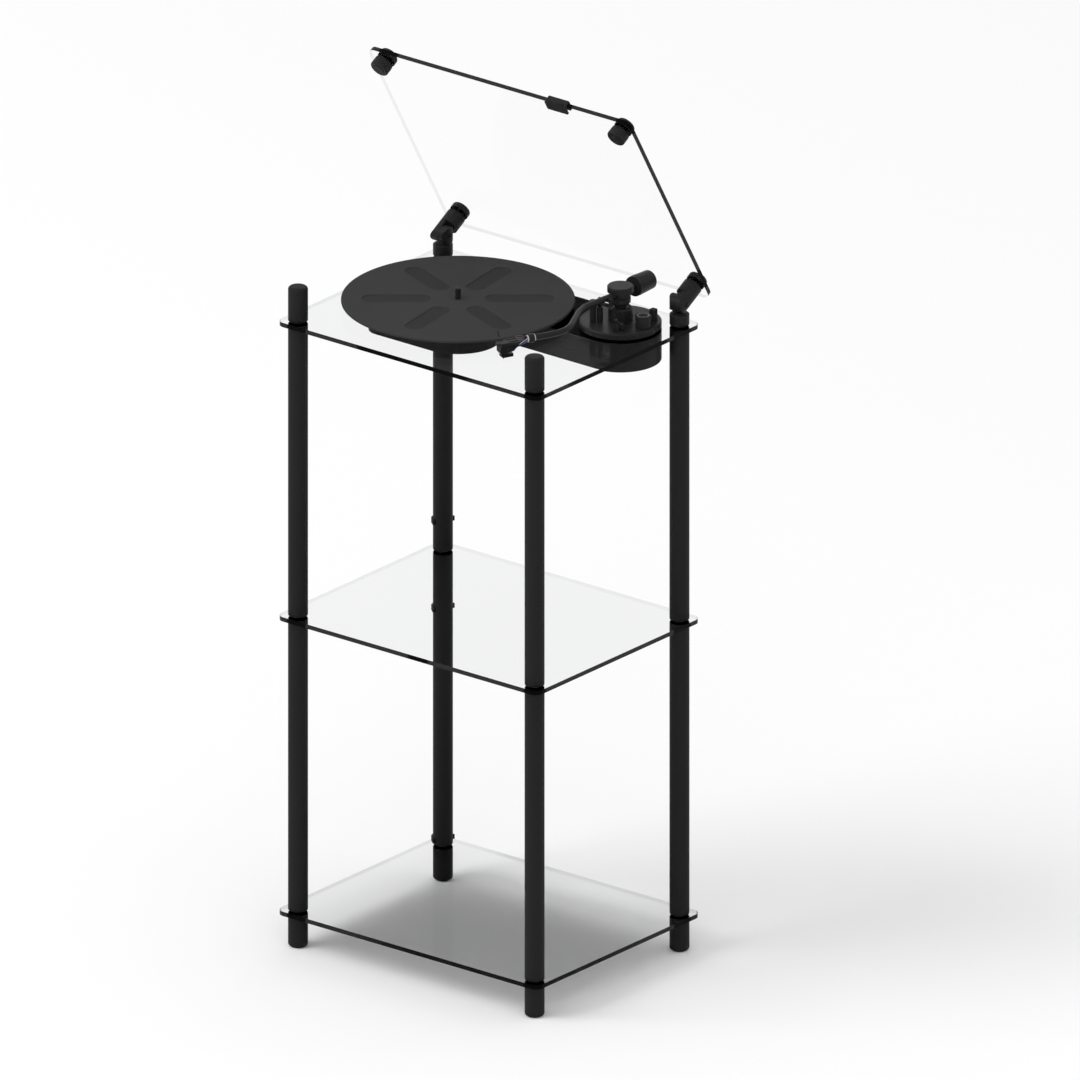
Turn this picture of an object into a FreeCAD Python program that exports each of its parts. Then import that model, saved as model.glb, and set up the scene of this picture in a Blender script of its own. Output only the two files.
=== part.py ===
"""Record player stand: four round posts clamp three glass shelves and carry a hinged glass lid.

The turntable hangs under the top shelf. Its platter and S-shaped tonearm stand above the glass.
Lengths are in millimetres. X is right, Y is back and Z is up. The stand is drawn about the middle
of its posts on the floor, and then moved so that the origin is the middle of its box.
"""
import FreeCAD, Part
import math
import os

os.makedirs("parts", exist_ok=True)

Vector = FreeCAD.Vector
UP = Vector(0, 0, 1)
RIGHT = Vector(1, 0, 0)
BACK = Vector(0, 1, 0)
CENTRE = Vector(0, 0, 0)
FULL_TURN = 360
HALF_TURN = 180

# Fits shared by all pieces
cut_over = 2.0
slip_gap = 0.05
moving_gap = 0.3
small_chamfer = 0.6

# Stand
post_pitch_x = 384.0
post_pitch_y = 292.0
post_d = 25.4
shelf_pitch = 400.0
first_shelf_z = 44.0
glass_t = 6.0
glass_over = 20.0
glass_corner_r = 12.0
washer_t = 1.0
washer_inset = 1.2
stud_d = 8.0
stud_reach = 18.0
stud_end_wall = 1.4
foot_round = 3.5
post_top_round = 4.0
post_end_chamfer = 0.6
pad_d = 18.0
pad_t = 2.6
pad_proud = 1.0

# Cable clips on the rear left post
clip_band_h = 6.0
clip_band_t = 2.2
clip_mouth_deg = 170.0
clip_faces_deg = -20.4
clip_lip_d = 3.4
clip_heights = (56.5, 369.0, 489.0)

# Lid and its hinges
lid_open_deg = 60.0
hinge_rise = 31.0
lid_offset = 34.6
lid_closed_gap = 0.3
knob_reach = 16.3
knob_round = 2.2
buffer_d = 15.0
buffer_t = 1.5
buffer_sink = 0.8
cap_h = 8.0
cap_round = 3.0
hinge_base_top = 17.4
hinge_neck_d = 18.5
hinge_ear_r = 11.0
hinge_knob_end = 21.7
hinge_bolt_d = 6.0
hinge_lap_gap = 0.15
lid_stud_d = 6.0
lid_stud_sink = 6.0
grip_len = 34.0
grip_depth = 15.0
grip_wall = 2.4
grip_offset_x = 95.0
grip_lip = 5.0
grip_round = 2.0
grip_lip_inset = 4.0

# Turntable plinth under the top shelf
spindle_x = -62.0
spindle_y = 15.0
plinth_h = 37.8
plinth_wall = 3.0
plinth_left = 175.9
plinth_arc_r = 54.4
plinth_corner_r = 23.5
plinth_inner_r = 15.0
plinth_arm_r = 52.3
cover_t = 2.5
cover_gap = 0.15
screw_d = 3.0
screw_head_d = 5.2
screw_head_t = 1.8
boss_d = 8.0
boss_wall_share = 0.45

# Platter, mat and its direct drive
mat_d = 296.0
mat_t = 3.2
mat_chamfer = 0.8
mat_slot_count = 6
mat_slot_turn_deg = 38.85
mat_slot_in = 34.0
mat_slot_out = 122.0
mat_slot_w = 25.0
mat_slot_depth = 0.8
platter_d = 250.0
platter_t = 6.5
platter_lift = 2.5
shaft_d = 10.0
pin_d = 7.2
pin_h = 14.0
pin_round = 1.6
sleeve_d = 24.0
sleeve_flange_d = 34.0
sleeve_flange_t = 2.0
sleeve_below = 21.0
nut_d = 36.0
nut_t = 5.0
stator_d = 84.0
stator_t = 3.0
coil_count = 9
coil_d = 17.0
coil_hole_d = 6.0
coil_t = 3.4
coil_pcd = 62.0
magnet_out_d = 82.0
magnet_in_d = 42.0
magnet_t = 5.0
rotor_t = 3.0
air_gap = 0.9
rotor_hub_d = 22.0
thrust_d = 22.0
thrust_t = 4.0
thrust_recess = 2.0
board_len = 70.0
board_w = 56.0
board_t = 1.6
board_post_h = 6.0
board_post_d = 6.0
board_post_inset = 4.0
chip_w = 14.0
chip_t = 2.0
chip_pitch = 19.6

# Sockets in the plinth's back wall
socket_x = -120.0
socket_pitch = 16.0
socket_d = 8.6
socket_hole_d = 3.4
socket_out = 5.0
socket_in = 9.0
socket_flange_d = 12.0
socket_flange_t = 1.2
inlet_d = 9.0
inlet_offset = 40.0
inlet_pin_d = 2.0
inlet_hole_d = 6.0

# Tonearm
arm_x = 137.0
arm_y = 95.3
arm_rise = 47.6
disc_t = 7.9
disc_chamfer = 1.6
pillar_d = 31.0
pillar_h = 18.0
pillar_chamfer = 1.6
shank_d = 16.0
shank_below = 14.0
arm_nut_d = 26.0
yoke_d = 26.5
yoke_foot_chamfer = 3.0
yoke_bottom = 32.6
yoke_top = 42.0
yoke_post_d = 13.0
yoke_post_top = 51.5
yoke_trench_gap = 1.5
cap_bottom = 43.0
cap_head_bottom = 49.6
cap_top = 57.6
pivot_cap_d = 33.6
pivot_cap_chamfer = 1.2
cap_bore_d = 15.5
pivot_pin_d = 3.0
pivot_pin_inset = 1.5
collar_d = 15.0
tube_d = 8.0
tube_sink = 3.4
tube_bend_one = (-4.0, -74.0)
tube_bend_two = (32.0, -146.0)
tube_end = (13.0, -188.0)
tube_bend_radii = (62.0, 48.0)
lock_len = 13.0
lock_d = 12.0
lock_groove = 0.8
lock_groove_shares = (0.3, 0.5, 0.7)
neck_d = 7.0
shell_len = 42.0
shell_w = 17.0
shell_nose_w = 13.0
shell_t = 3.2
shell_slot_w = 2.6
shell_slot_len = 12.0
shell_slot_pitch = 8.4
cart_len = 27.0
cart_w = 15.0
cart_h = 13.0
cart_set = 11.0
cart_ear_h = 3.0
cart_notch_len = 10.8
cart_slope = 4.3
stylus_len = 17.0
stylus_w = 6.4
stylus_h = 4.6
stylus_slope = 2.3
tip_h = 2.6
tip_r = 0.9
tip_point_r = 0.18
lift_d = 1.8
lift_out = 13.0
lift_flat = 7.8
lift_up = 6.0
lift_place_share = 0.72
stub_d = 7.0
weight_d = 27.0
weight_end_d = 24.8
weight_start = 31.0
weight_len = 28.0
weight_chamfer = 1.2
weight_bore_depth = 22.0
dial_ring_t = 4.5
dial_ring_d = 26.6

# Controls on the tonearm disc. The shares are of the disc's radius, from its middle.
skate_place_shares = (0.74, -0.0402)
skate_d = 20.0
skate_h = 16.0
skate_ring_d = 15.5
skate_ring_w = 2.2
skate_ring_t = 0.6
skate_post_d = 6.0
block_place_shares = (0.6424, 0.4742)
block_w = 8.0
block_h = 15.0
block_round = 1.2
rest_x = -22.0
rest_y = -28.0
rest_post_d = 8.0
rest_hook_w = 6.0
rest_floor_gap = 3.2
rest_wall_t = 2.6
rest_wall_gap = 1.6
rest_wall_rise = 2.0
lift_post_x = -16.0
lift_post_y = -21.6
lift_post_d = 8.0
lift_post_h = 20.0
lift_rod_d = 4.0
lift_bar_w = 5.0
lift_bar_t = 2.4
lift_bar_len = 22.0
lift_travel = 3.0
lift_bore_depth = 9.0
cue_place_shares = (0.4015, -0.5736)
cue_w = 9.0
cue_len = 12.0
cue_h = 9.0
cue_axle_h = 5.0
cue_ridge_round = 3.0
cue_shaft_d = 4.0
cue_hub_d = 6.4
cue_hub_len = 3.6
cue_stick_d = 2.6
cue_stick_len = 20.0
cue_tip_d = 4.6
cue_rise_deg = 45.0
button_place_shares = (0.5736, -0.7075)
button_d = 6.0
button_proud = 1.6
button_depth = 4.4
button_travel = 0.8

# Levels worked out from the sizes above
post_r = post_d / 2
half_x = post_pitch_x / 2
half_y = post_pitch_y / 2
shelf_zs = [first_shelf_z + shelf_pitch * level for level in range(3)]
top_glass_z = shelf_zs[2]
deck_z = top_glass_z + glass_t
glass_mid_z = top_glass_z + glass_t / 2
hinge_z = glass_mid_z + hinge_rise
lid_mid_z = hinge_z + lid_offset
front_top_z = lid_mid_z - knob_reach - lid_closed_gap
plinth_bottom_z = top_glass_z - plinth_h
platter_z = deck_z + platter_lift
mat_z = platter_z + platter_t
disc_top_z = deck_z + disc_t
arm_z = glass_mid_z + arm_rise
skate_x, skate_y = [plinth_arm_r * share for share in skate_place_shares]
block_x, block_y = [plinth_arm_r * share for share in block_place_shares]
cue_x, cue_y = [plinth_arm_r * share for share in cue_place_shares]
button_x, button_y = [plinth_arm_r * share for share in button_place_shares]
hinge_stud_reach = hinge_base_top - glass_t / 2 - washer_t - stud_end_wall
lid_swing = math.radians(lid_open_deg)
lid_stack = lid_offset + glass_t / 2 + washer_t + cap_h
back_reach = lid_stack * math.sin(lid_swing) + post_r * math.cos(lid_swing)
origin_back = (back_reach - glass_over) / 2
corners = {
    "front_left": (-half_x, -half_y),
    "front_right": (half_x, -half_y),
    "rear_left": (-half_x, half_y),
    "rear_right": (half_x, half_y),
}


def rod(radius, height, x, y, z, along=UP):
    """Return a cylinder that starts at x, y, z and runs along a direction."""
    return Part.makeCylinder(radius, height, Vector(x, y, z), along)


def ring(outer_r, inner_r, height, x, y, z, along=UP):
    """Return a round tube, open at both ends."""
    start = Vector(x, y, z) - along * cut_over
    hole = Part.makeCylinder(inner_r, height + cut_over * 2, start, along)
    return rod(outer_r, height, x, y, z, along).cut(hole)


def block(width, depth, height, x, y, z):
    """Return a box whose middle in plan is at x, y and whose underside is at z."""
    return Part.makeBox(width, depth, height, Vector(x - width / 2, y - depth / 2, z))


def upright_edges(shape):
    """Return the straight edges of a shape that run along Z."""
    found = []
    for edge in shape.Edges:
        if len(edge.Vertexes) == 2 and isinstance(edge.Curve, Part.Line):
            span = edge.Vertexes[1].Point - edge.Vertexes[0].Point
            if abs(span.z) > abs(span.x) + abs(span.y):
                found.append(edge)
    return found


def edges_at(shape, z):
    """Return the edges of a shape that lie flat at the height z."""
    tiny = slip_gap / 5
    flat = [e for e in shape.Edges if e.BoundBox.ZLength < tiny]
    return [e for e in flat if abs(e.BoundBox.ZMin - z) < tiny]


def rounded_plate(width, depth, height, corner_r, x, y, z):
    """Return a plate with rounded corners in plan."""
    plate = block(width, depth, height, x, y, z)
    return plate.makeFillet(corner_r, upright_edges(plate))


def joined(shapes):
    """Return one solid made of shapes that touch or cross."""
    return shapes[0].multiFuse(shapes[1:]).removeSplitter()


def around(shape, count, x, y):
    """Return copies of a shape, evenly turned about an upright axis."""
    copies = []
    for index in range(count):
        copy = shape.copy()
        copy.rotate(Vector(x, y, 0), UP, FULL_TURN * index / count)
        copies.append(copy)
    return copies


nodes = {}


def keep(name, shapes):
    """Store a node, given as one solid or as a list of separate solids."""
    solids = shapes if isinstance(shapes, list) else [shapes]
    nodes[name] = Part.makeCompound([solid for shape in solids for solid in shape.Solids])


# Posts: each stretch between two shelves is a round bar with a blind stud hole at each end
def post_bar(x, y, bottom, top, bottom_hole, top_hole):
    """Return a post stretch, chamfered at both ends, with stud holes where asked."""
    bar = rod(post_r, top - bottom, x, y, bottom)
    if bottom_hole:
        bar = bar.makeChamfer(post_end_chamfer, edges_at(bar, bottom))
        bar = bar.cut(rod(stud_d / 2 + slip_gap, stud_reach, x, y, bottom))
    if top_hole:
        rim = [e for e in edges_at(bar, top) if e.BoundBox.XLength > stud_d * 2]
        bar = bar.makeChamfer(post_end_chamfer, rim)
        bar = bar.cut(rod(stud_d / 2 + slip_gap, stud_reach, x, y, top - stud_reach))
    return bar


def make_feet():
    """Make the four short bottom bars with their rounded ends, and the pads let into them."""
    feet = []
    pads = []
    for x, y in corners.values():
        foot = rod(post_r, shelf_zs[0] - washer_t - pad_proud, x, y, pad_proud)
        foot = foot.makeFillet(foot_round, edges_at(foot, pad_proud))
        foot = foot.makeChamfer(post_end_chamfer, edges_at(foot, shelf_zs[0] - washer_t))
        foot = foot.cut(rod(pad_d / 2 + slip_gap, pad_t - pad_proud, x, y, pad_proud))
        stud_hole_z = shelf_zs[0] - washer_t - stud_reach
        foot = foot.cut(rod(stud_d / 2 + slip_gap, stud_reach, x, y, stud_hole_z))
        feet.append(foot)
        pads.append(rod(pad_d / 2, pad_t, x, y, 0))
    keep("post_feet", feet)
    keep("foot_pads", pads)


def make_posts():
    """Make the long bars between shelves and the short bars above the front of the top shelf."""
    for level, stretch in enumerate(("lower_posts", "upper_posts")):
        bottom = shelf_zs[level] + glass_t + washer_t
        top = shelf_zs[level + 1] - washer_t
        keep(stretch, [post_bar(x, y, bottom, top, True, True) for x, y in corners.values()])
    finials = []
    bottom = deck_z + washer_t
    for x in (-half_x, half_x):
        finial = post_bar(x, -half_y, bottom, front_top_z, True, False)
        rim = [e for e in edges_at(finial, front_top_z) if e.BoundBox.XLength > post_r]
        finials.append(finial.makeFillet(post_top_round, rim))
    keep("front_post_tops", finials)


def make_joints():
    """Make the washers on both faces of each shelf and the studs that pull the bars together."""
    washers = []
    studs = []
    for level_z in shelf_zs:
        for x, y in corners.values():
            for z in (level_z - washer_t, level_z + glass_t):
                washers.append(ring(post_r - washer_inset, stud_d / 2 + slip_gap, washer_t, x, y, z))
            below = stud_reach + washer_t
            hinged = level_z == top_glass_z and y > 0
            above = washer_t + (hinge_stud_reach if hinged else stud_reach)
            studs.append(rod(stud_d / 2, glass_t + below + above, x, y, level_z - below))
    keep("shelf_washers", washers)
    keep("post_studs", studs)


def glass_sheet(z):
    """Return a shelf-sized sheet of glass with its four stud holes."""
    width = post_pitch_x + glass_over * 2
    depth = post_pitch_y + glass_over * 2
    sheet = rounded_plate(width, depth, glass_t, glass_corner_r, 0, 0, z)
    for x, y in corners.values():
        sheet = sheet.cut(rod(stud_d / 2 + slip_gap, glass_t, x, y, z))
    return sheet


def make_shelves():
    """Make the three shelves. The top one is also bored for the platter bearing and the tonearm."""
    keep("bottom_shelf", glass_sheet(shelf_zs[0]))
    keep("middle_shelf", glass_sheet(shelf_zs[1]))
    top = glass_sheet(top_glass_z)
    top = top.cut(rod(sleeve_d / 2 + slip_gap, glass_t, spindle_x, spindle_y, top_glass_z))
    top = top.cut(rod(shank_d / 2 + slip_gap, glass_t, arm_x, arm_y, top_glass_z))
    keep("top_shelf", top)


def make_cable_clips():
    """Make the open rings that snap round the rear left post, with a round lip at each end."""
    x, y = corners["rear_left"]
    clips = []
    sweep = FULL_TURN - clip_mouth_deg
    middle_r = post_r + slip_gap + clip_band_t / 2
    for middle_z in clip_heights:
        z = middle_z - clip_band_h / 2
        band = Part.makeCylinder(post_r + slip_gap + clip_band_t, clip_band_h, Vector(x, y, z), UP, sweep)
        band = band.cut(rod(post_r + slip_gap, clip_band_h, x, y, z))
        lips = []
        for angle in (0, sweep):
            out_r = middle_r + clip_lip_d / 4
            lip_x = x + out_r * math.cos(math.radians(angle))
            lip_y = y + out_r * math.sin(math.radians(angle))
            lip = rod(clip_lip_d / 2, clip_band_h, lip_x, lip_y, z)
            lips.append(lip.cut(rod(post_r + slip_gap, clip_band_h, x, y, z)))
        clip = joined([band] + lips)
        clip.rotate(Vector(x, y, 0), UP, clip_faces_deg + clip_mouth_deg / 2)
        clips.append(clip)
    keep("cable_clips", clips)


# Lid: drawn closed, with its hinge axis in place, and then swung open
def swung_open(shape):
    """Return a lid piece turned about the hinge axis, from closed to its photographed angle."""
    turned = shape.copy()
    turned.rotate(Vector(0, half_y, hinge_z), RIGHT, -lid_open_deg)
    return turned


def ear(side, inner, gap):
    """Return half a round bar on one side of the plane through the hinge, cut for a half lap."""
    reach = side if not inner else -side
    x = side * half_x + reach * (post_r + gap)
    return block(post_d, post_d * 2, post_d * 4, x, half_y, hinge_z - post_d * 2)


def lower_hinge(side):
    """Return the fixed half: a base on the shelf, a neck, and a rounded ear on the inner side."""
    x = side * half_x
    base_bottom = deck_z + washer_t
    base_top = glass_mid_z + hinge_base_top
    base = rod(post_r, base_top - base_bottom, x, half_y, base_bottom)
    base = base.makeChamfer(post_end_chamfer, base.Edges)
    neck = rod(hinge_neck_d / 2, hinge_z - base_top, x, half_y, base_top)
    barrel = Part.makeCylinder(hinge_ear_r, post_d, Vector(x - post_r, half_y, hinge_z), RIGHT)
    knuckle = joined([neck, barrel.common(rod(post_r, hinge_ear_r * 2, x, half_y, hinge_z - hinge_ear_r))])
    lap = ear(side, True, hinge_lap_gap)
    level = base_top + (hinge_z - hinge_ear_r - base_top) / 2
    above = lap.common(block(post_d * 3, post_d * 3, post_d * 2, x, half_y, level))
    below = block(post_d * 2, post_d * 2, level - base_top, x, half_y, base_top)
    ear_part = knuckle.common(above)
    stem = neck.common(below)
    half = joined([base, stem, ear_part])
    half = half.cut(rod(stud_d / 2 + slip_gap, hinge_stud_reach, x, half_y, base_bottom))
    bore_start = Vector(x - post_d, half_y, hinge_z)
    return half.cut(Part.makeCylinder(hinge_bolt_d / 2 + slip_gap, post_d * 2, bore_start, RIGHT))


def upper_hinge(side):
    """Return the swinging half, drawn closed: a full bar under the glass, then an ear on the outer side."""
    x = side * half_x
    top = lid_mid_z - glass_t / 2 - washer_t
    shoulder = lid_mid_z - hinge_knob_end
    head = rod(post_r, top - shoulder, x, half_y, shoulder)
    head = head.makeChamfer(post_end_chamfer, edges_at(head, top))
    barrel = Part.makeCylinder(hinge_ear_r, post_d, Vector(x - post_r, half_y, hinge_z), RIGHT)
    tongue = joined([
        rod(post_r, shoulder - hinge_z, x, half_y, hinge_z).common(
            block(post_d * 2, hinge_ear_r * 2, post_d * 2, x, half_y, hinge_z)),
        barrel.common(rod(post_r, hinge_ear_r * 2, x, half_y, hinge_z - hinge_ear_r)),
    ])
    tongue = tongue.common(ear(side, False, hinge_lap_gap))
    half = joined([head, tongue])
    half = half.cut(rod(lid_stud_d / 2 + slip_gap, lid_stud_sink, x, half_y, top - lid_stud_sink))
    bore_start = Vector(x - post_d, half_y, hinge_z)
    return half.cut(Part.makeCylinder(hinge_bolt_d / 2 + slip_gap, post_d * 2, bore_start, RIGHT))


def hinge_bolt(side):
    """Return the cross bolt, cut off flush with the round outsides of the lapped ears."""
    start = Vector(side * half_x - post_r, half_y, hinge_z)
    shaft = Part.makeCylinder(hinge_bolt_d / 2, post_d, start, RIGHT)
    return shaft.common(rod(post_r, post_d, side * half_x, half_y, hinge_z - post_r))


def make_hinges():
    """Make both hinges. Their bolts stay with the lower halves."""
    keep("hinge_bases", [lower_hinge(side) for side in (-1, 1)])
    keep("hinge_arms", [swung_open(upper_hinge(side)) for side in (-1, 1)])
    keep("hinge_bolts", [hinge_bolt(side) for side in (-1, 1)])


def make_lid():
    """Make the lid glass, its front knobs, the caps on top, washers, studs and buffers."""
    bottom = lid_mid_z - glass_t / 2
    width = post_pitch_x + glass_over * 2
    depth = post_pitch_y + glass_over * 2
    sheet = rounded_plate(width, depth, glass_t, glass_corner_r, 0, 0, bottom)
    caps = []
    washers = []
    studs = []
    for x, y in corners.values():
        sheet = sheet.cut(rod(lid_stud_d / 2 + slip_gap, glass_t, x, y, bottom))
        cap_z = lid_mid_z + glass_t / 2 + washer_t
        cap = rod(post_r, cap_h, x, y, cap_z)
        cap = cap.makeFillet(cap_round, edges_at(cap, cap_z + cap_h))
        cap = cap.cut(rod(lid_stud_d / 2 + slip_gap, cap_h / 2, x, y, cap_z))
        caps.append(swung_open(cap))
        for z in (bottom - washer_t, bottom + glass_t):
            washer = ring(post_r - washer_inset, lid_stud_d / 2 + slip_gap, washer_t, x, y, z)
            washers.append(swung_open(washer))
        reach = lid_stud_sink + washer_t
        stud = rod(lid_stud_d / 2, reach + glass_t + washer_t + cap_h / 2, x, y, bottom - reach)
        studs.append(swung_open(stud))
    keep("lid_glass", swung_open(sheet))
    keep("lid_caps", caps)
    keep("lid_washers", washers)
    keep("lid_studs", studs)
    knobs = []
    buffers = []
    for x in (-half_x, half_x):
        end_z = lid_mid_z - knob_reach + buffer_t - buffer_sink
        top = bottom - washer_t
        knob = rod(post_r, top - end_z, x, -half_y, end_z)
        knob = knob.makeFillet(knob_round, edges_at(knob, end_z))
        knob = knob.makeChamfer(post_end_chamfer, edges_at(knob, top))
        knob = knob.cut(rod(lid_stud_d / 2 + slip_gap, lid_stud_sink, x, -half_y, top - lid_stud_sink))
        knob = knob.cut(rod(buffer_d / 2 + slip_gap, buffer_sink, x, -half_y, end_z))
        knobs.append(swung_open(knob))
        buffers.append(swung_open(rod(buffer_d / 2, buffer_t, x, -half_y, lid_mid_z - knob_reach)))
    keep("lid_knobs", knobs)
    keep("lid_buffers", buffers)


def make_lid_grip():
    """Make the finger grip: a channel that slips over the front edge of the lid, with a turned lip."""
    edge_y = -half_y - glass_over
    height = glass_t + grip_wall * 2
    bottom = lid_mid_z - height / 2
    depth = grip_depth
    channel_start = Vector(grip_offset_x - grip_len / 2, edge_y - grip_wall, bottom)
    channel = Part.makeBox(grip_len, depth, height, channel_start)
    channel = channel.makeFillet(grip_round, upright_edges(channel))
    slot = block(grip_len * 2, depth, glass_t, grip_offset_x, edge_y + depth / 2, lid_mid_z - glass_t / 2)
    lip = Part.makeBox(
        grip_len - grip_lip_inset * 2, grip_wall + grip_lip, grip_wall,
        Vector(grip_offset_x - grip_len / 2 + grip_lip_inset, edge_y - grip_wall - grip_lip, bottom))
    front = [e for e in upright_edges(lip) if e.BoundBox.YMax < edge_y - grip_wall]
    lip = lip.makeFillet(grip_round, front)
    keep("lid_grip", swung_open(joined([channel, lip]).cut(slot)))


# Plinth: a tray with a straight left end, a round belly at the spindle and a round tonearm end
def plinth_solid(inset, z, height):
    """Return the plinth's plan, drawn in by an inset, as a solid."""
    left = -plinth_left + inset
    belly_r = plinth_arc_r - inset
    arm_r = plinth_arm_r - inset
    back = arm_y + arm_r
    front = spindle_y - belly_r
    main = Part.makeBox(spindle_x - left, back - front, height, Vector(left, front, z))
    corner = [e for e in upright_edges(main) if e.BoundBox.XMax < left + inset + cut_over / 4]
    main = main.makeFillet(plinth_corner_r - inset, corner)
    step_y = arm_y - arm_r
    neck = Part.makeBox(arm_x - spindle_x, back - step_y, height, Vector(spindle_x, step_y, z))
    belly = rod(belly_r, height, spindle_x, spindle_y, z)
    end = rod(arm_r, height, arm_x, arm_y, z)
    solid = joined([main, neck, belly, end])
    step_x = spindle_x + math.sqrt(belly_r ** 2 - (step_y - spindle_y) ** 2)
    inner = [
        e for e in upright_edges(solid)
        if abs(e.BoundBox.XMin - step_x) < slip_gap and abs(e.BoundBox.YMin - step_y) < slip_gap
    ]
    return solid.makeFillet(plinth_inner_r + inset, inner)


def cover_screw_places():
    """Return where the four screws of the bottom cover stand."""
    inset = plinth_wall + boss_d * boss_wall_share
    corner_x = -plinth_left + plinth_corner_r
    slant = (plinth_corner_r - inset) * math.cos(math.radians(HALF_TURN / 4))
    return (
        (corner_x - slant, arm_y + plinth_arm_r - plinth_corner_r + slant),
        (corner_x - slant, spindle_y - plinth_arc_r + plinth_corner_r - slant),
        (arm_x, arm_y + plinth_arm_r - inset),
        (arm_x, arm_y - plinth_arm_r + inset),
    )


def make_plinth():
    """Make the plinth tray, its bosses, the bottom cover and the cover screws."""
    shell = plinth_solid(0, plinth_bottom_z, plinth_h)
    shell = shell.cut(plinth_solid(plinth_wall, plinth_bottom_z, plinth_h - plinth_wall))
    ceiling_z = top_glass_z - plinth_wall
    cover_top_z = plinth_bottom_z + cover_t
    bosses = [rod(boss_d / 2, ceiling_z - cover_top_z, x, y, cover_top_z) for x, y in cover_screw_places()]
    shell = joined([shell] + bosses)
    for x, y in cover_screw_places():
        shell = shell.cut(rod(screw_d / 2, boss_d, x, y, cover_top_z))
    shell = shell.cut(rod(sleeve_d / 2 + slip_gap, plinth_wall, spindle_x, spindle_y, ceiling_z))
    shell = shell.cut(rod(shank_d / 2 + slip_gap, plinth_wall, arm_x, arm_y, ceiling_z))
    back_wall_y = arm_y + plinth_arm_r
    for x, hole_d in socket_places():
        start = Vector(x, back_wall_y - plinth_wall, socket_z())
        shell = shell.cut(Part.makeCylinder(hole_d / 2 + slip_gap, plinth_wall, start, BACK))
    keep("plinth_shell", shell)
    cover = plinth_solid(plinth_wall + cover_gap, plinth_bottom_z, cover_t)
    screws = []
    for x, y in cover_screw_places():
        cover = cover.cut(rod(screw_d / 2 + slip_gap, cover_t, x, y, plinth_bottom_z))
        cover = cover.cut(rod(screw_head_d / 2 + slip_gap, screw_head_t, x, y, plinth_bottom_z))
        head = rod(screw_head_d / 2, screw_head_t, x, y, plinth_bottom_z)
        stem = rod(screw_d / 2 - slip_gap, boss_d - slip_gap, x, y, plinth_bottom_z + screw_head_t)
        screws.append(joined([head, stem]))
    keep("plinth_cover", cover)
    keep("cover_screws", screws)


def socket_z():
    """Return the height of the sockets, at the middle of the plinth's back wall."""
    return plinth_bottom_z + plinth_h / 2


def socket_places():
    """Return the X place and body diameter of the two signal sockets and the power inlet."""
    return (
        (socket_x, socket_d),
        (socket_x + socket_pitch, socket_d),
        (socket_x + inlet_offset, inlet_d),
    )


def make_sockets():
    """Make the two signal sockets and the power inlet in the plinth's back wall."""
    wall_y = arm_y + plinth_arm_r
    signal = []
    for x, body_d in socket_places():
        z = socket_z()
        tail = Vector(x, wall_y - plinth_wall - socket_in, z)
        body = Part.makeCylinder(body_d / 2, plinth_wall + socket_in, tail, BACK)
        depth_start = Vector(x, wall_y - socket_in, z)
        flange = Part.makeCylinder(socket_flange_d / 2, socket_flange_t, Vector(x, wall_y, z), BACK)
        if body_d == socket_d:
            nose = Part.makeCylinder(body_d / 2, socket_out, Vector(x, wall_y, z), BACK)
            bore = Part.makeCylinder(socket_hole_d / 2, socket_out + socket_in, depth_start, BACK)
            signal.append(joined([body, flange, nose]).cut(bore))
        else:
            mouth = Part.makeCylinder(inlet_hole_d / 2, socket_in + socket_flange_t, depth_start, BACK)
            pin = Part.makeCylinder(inlet_pin_d / 2, socket_in, depth_start, BACK)
            keep("power_inlet", joined([joined([body, flange]).cut(mouth), pin]))
    keep("signal_sockets", signal)


# Drive: the bearing sleeve clamps the plinth to the glass, and the rotor hangs on the shaft below
def make_bearing():
    """Make the flanged bearing sleeve, the nuts of sleeve and tonearm, and the thrust pad."""
    bottom = deck_z - sleeve_below
    barrel = rod(sleeve_d / 2, deck_z - bottom, spindle_x, spindle_y, bottom)
    flange = rod(sleeve_flange_d / 2, sleeve_flange_t, spindle_x, spindle_y, deck_z)
    sleeve = joined([barrel, flange])
    bore_len = deck_z + cut_over * 2 - bottom
    bore = rod(shaft_d / 2 + slip_gap, bore_len, spindle_x, spindle_y, bottom - cut_over)
    keep("bearing_sleeve", sleeve.cut(bore))
    nut_z = top_glass_z - plinth_wall - nut_t
    bearing_nut = ring(nut_d / 2, sleeve_d / 2 + slip_gap, nut_t, spindle_x, spindle_y, nut_z)
    arm_nut = ring(arm_nut_d / 2, shank_d / 2 + slip_gap, nut_t, arm_x, arm_y, nut_z)
    keep("clamp_nuts", [bearing_nut, arm_nut])
    pad_z = plinth_bottom_z + cover_t
    pad = rod(thrust_d / 2, thrust_t, spindle_x, spindle_y, pad_z)
    recess_z = pad_z + thrust_t - thrust_recess
    recess = rod(shaft_d / 2 + moving_gap, thrust_recess, spindle_x, spindle_y, recess_z)
    keep("thrust_pad", pad.cut(recess))


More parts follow.
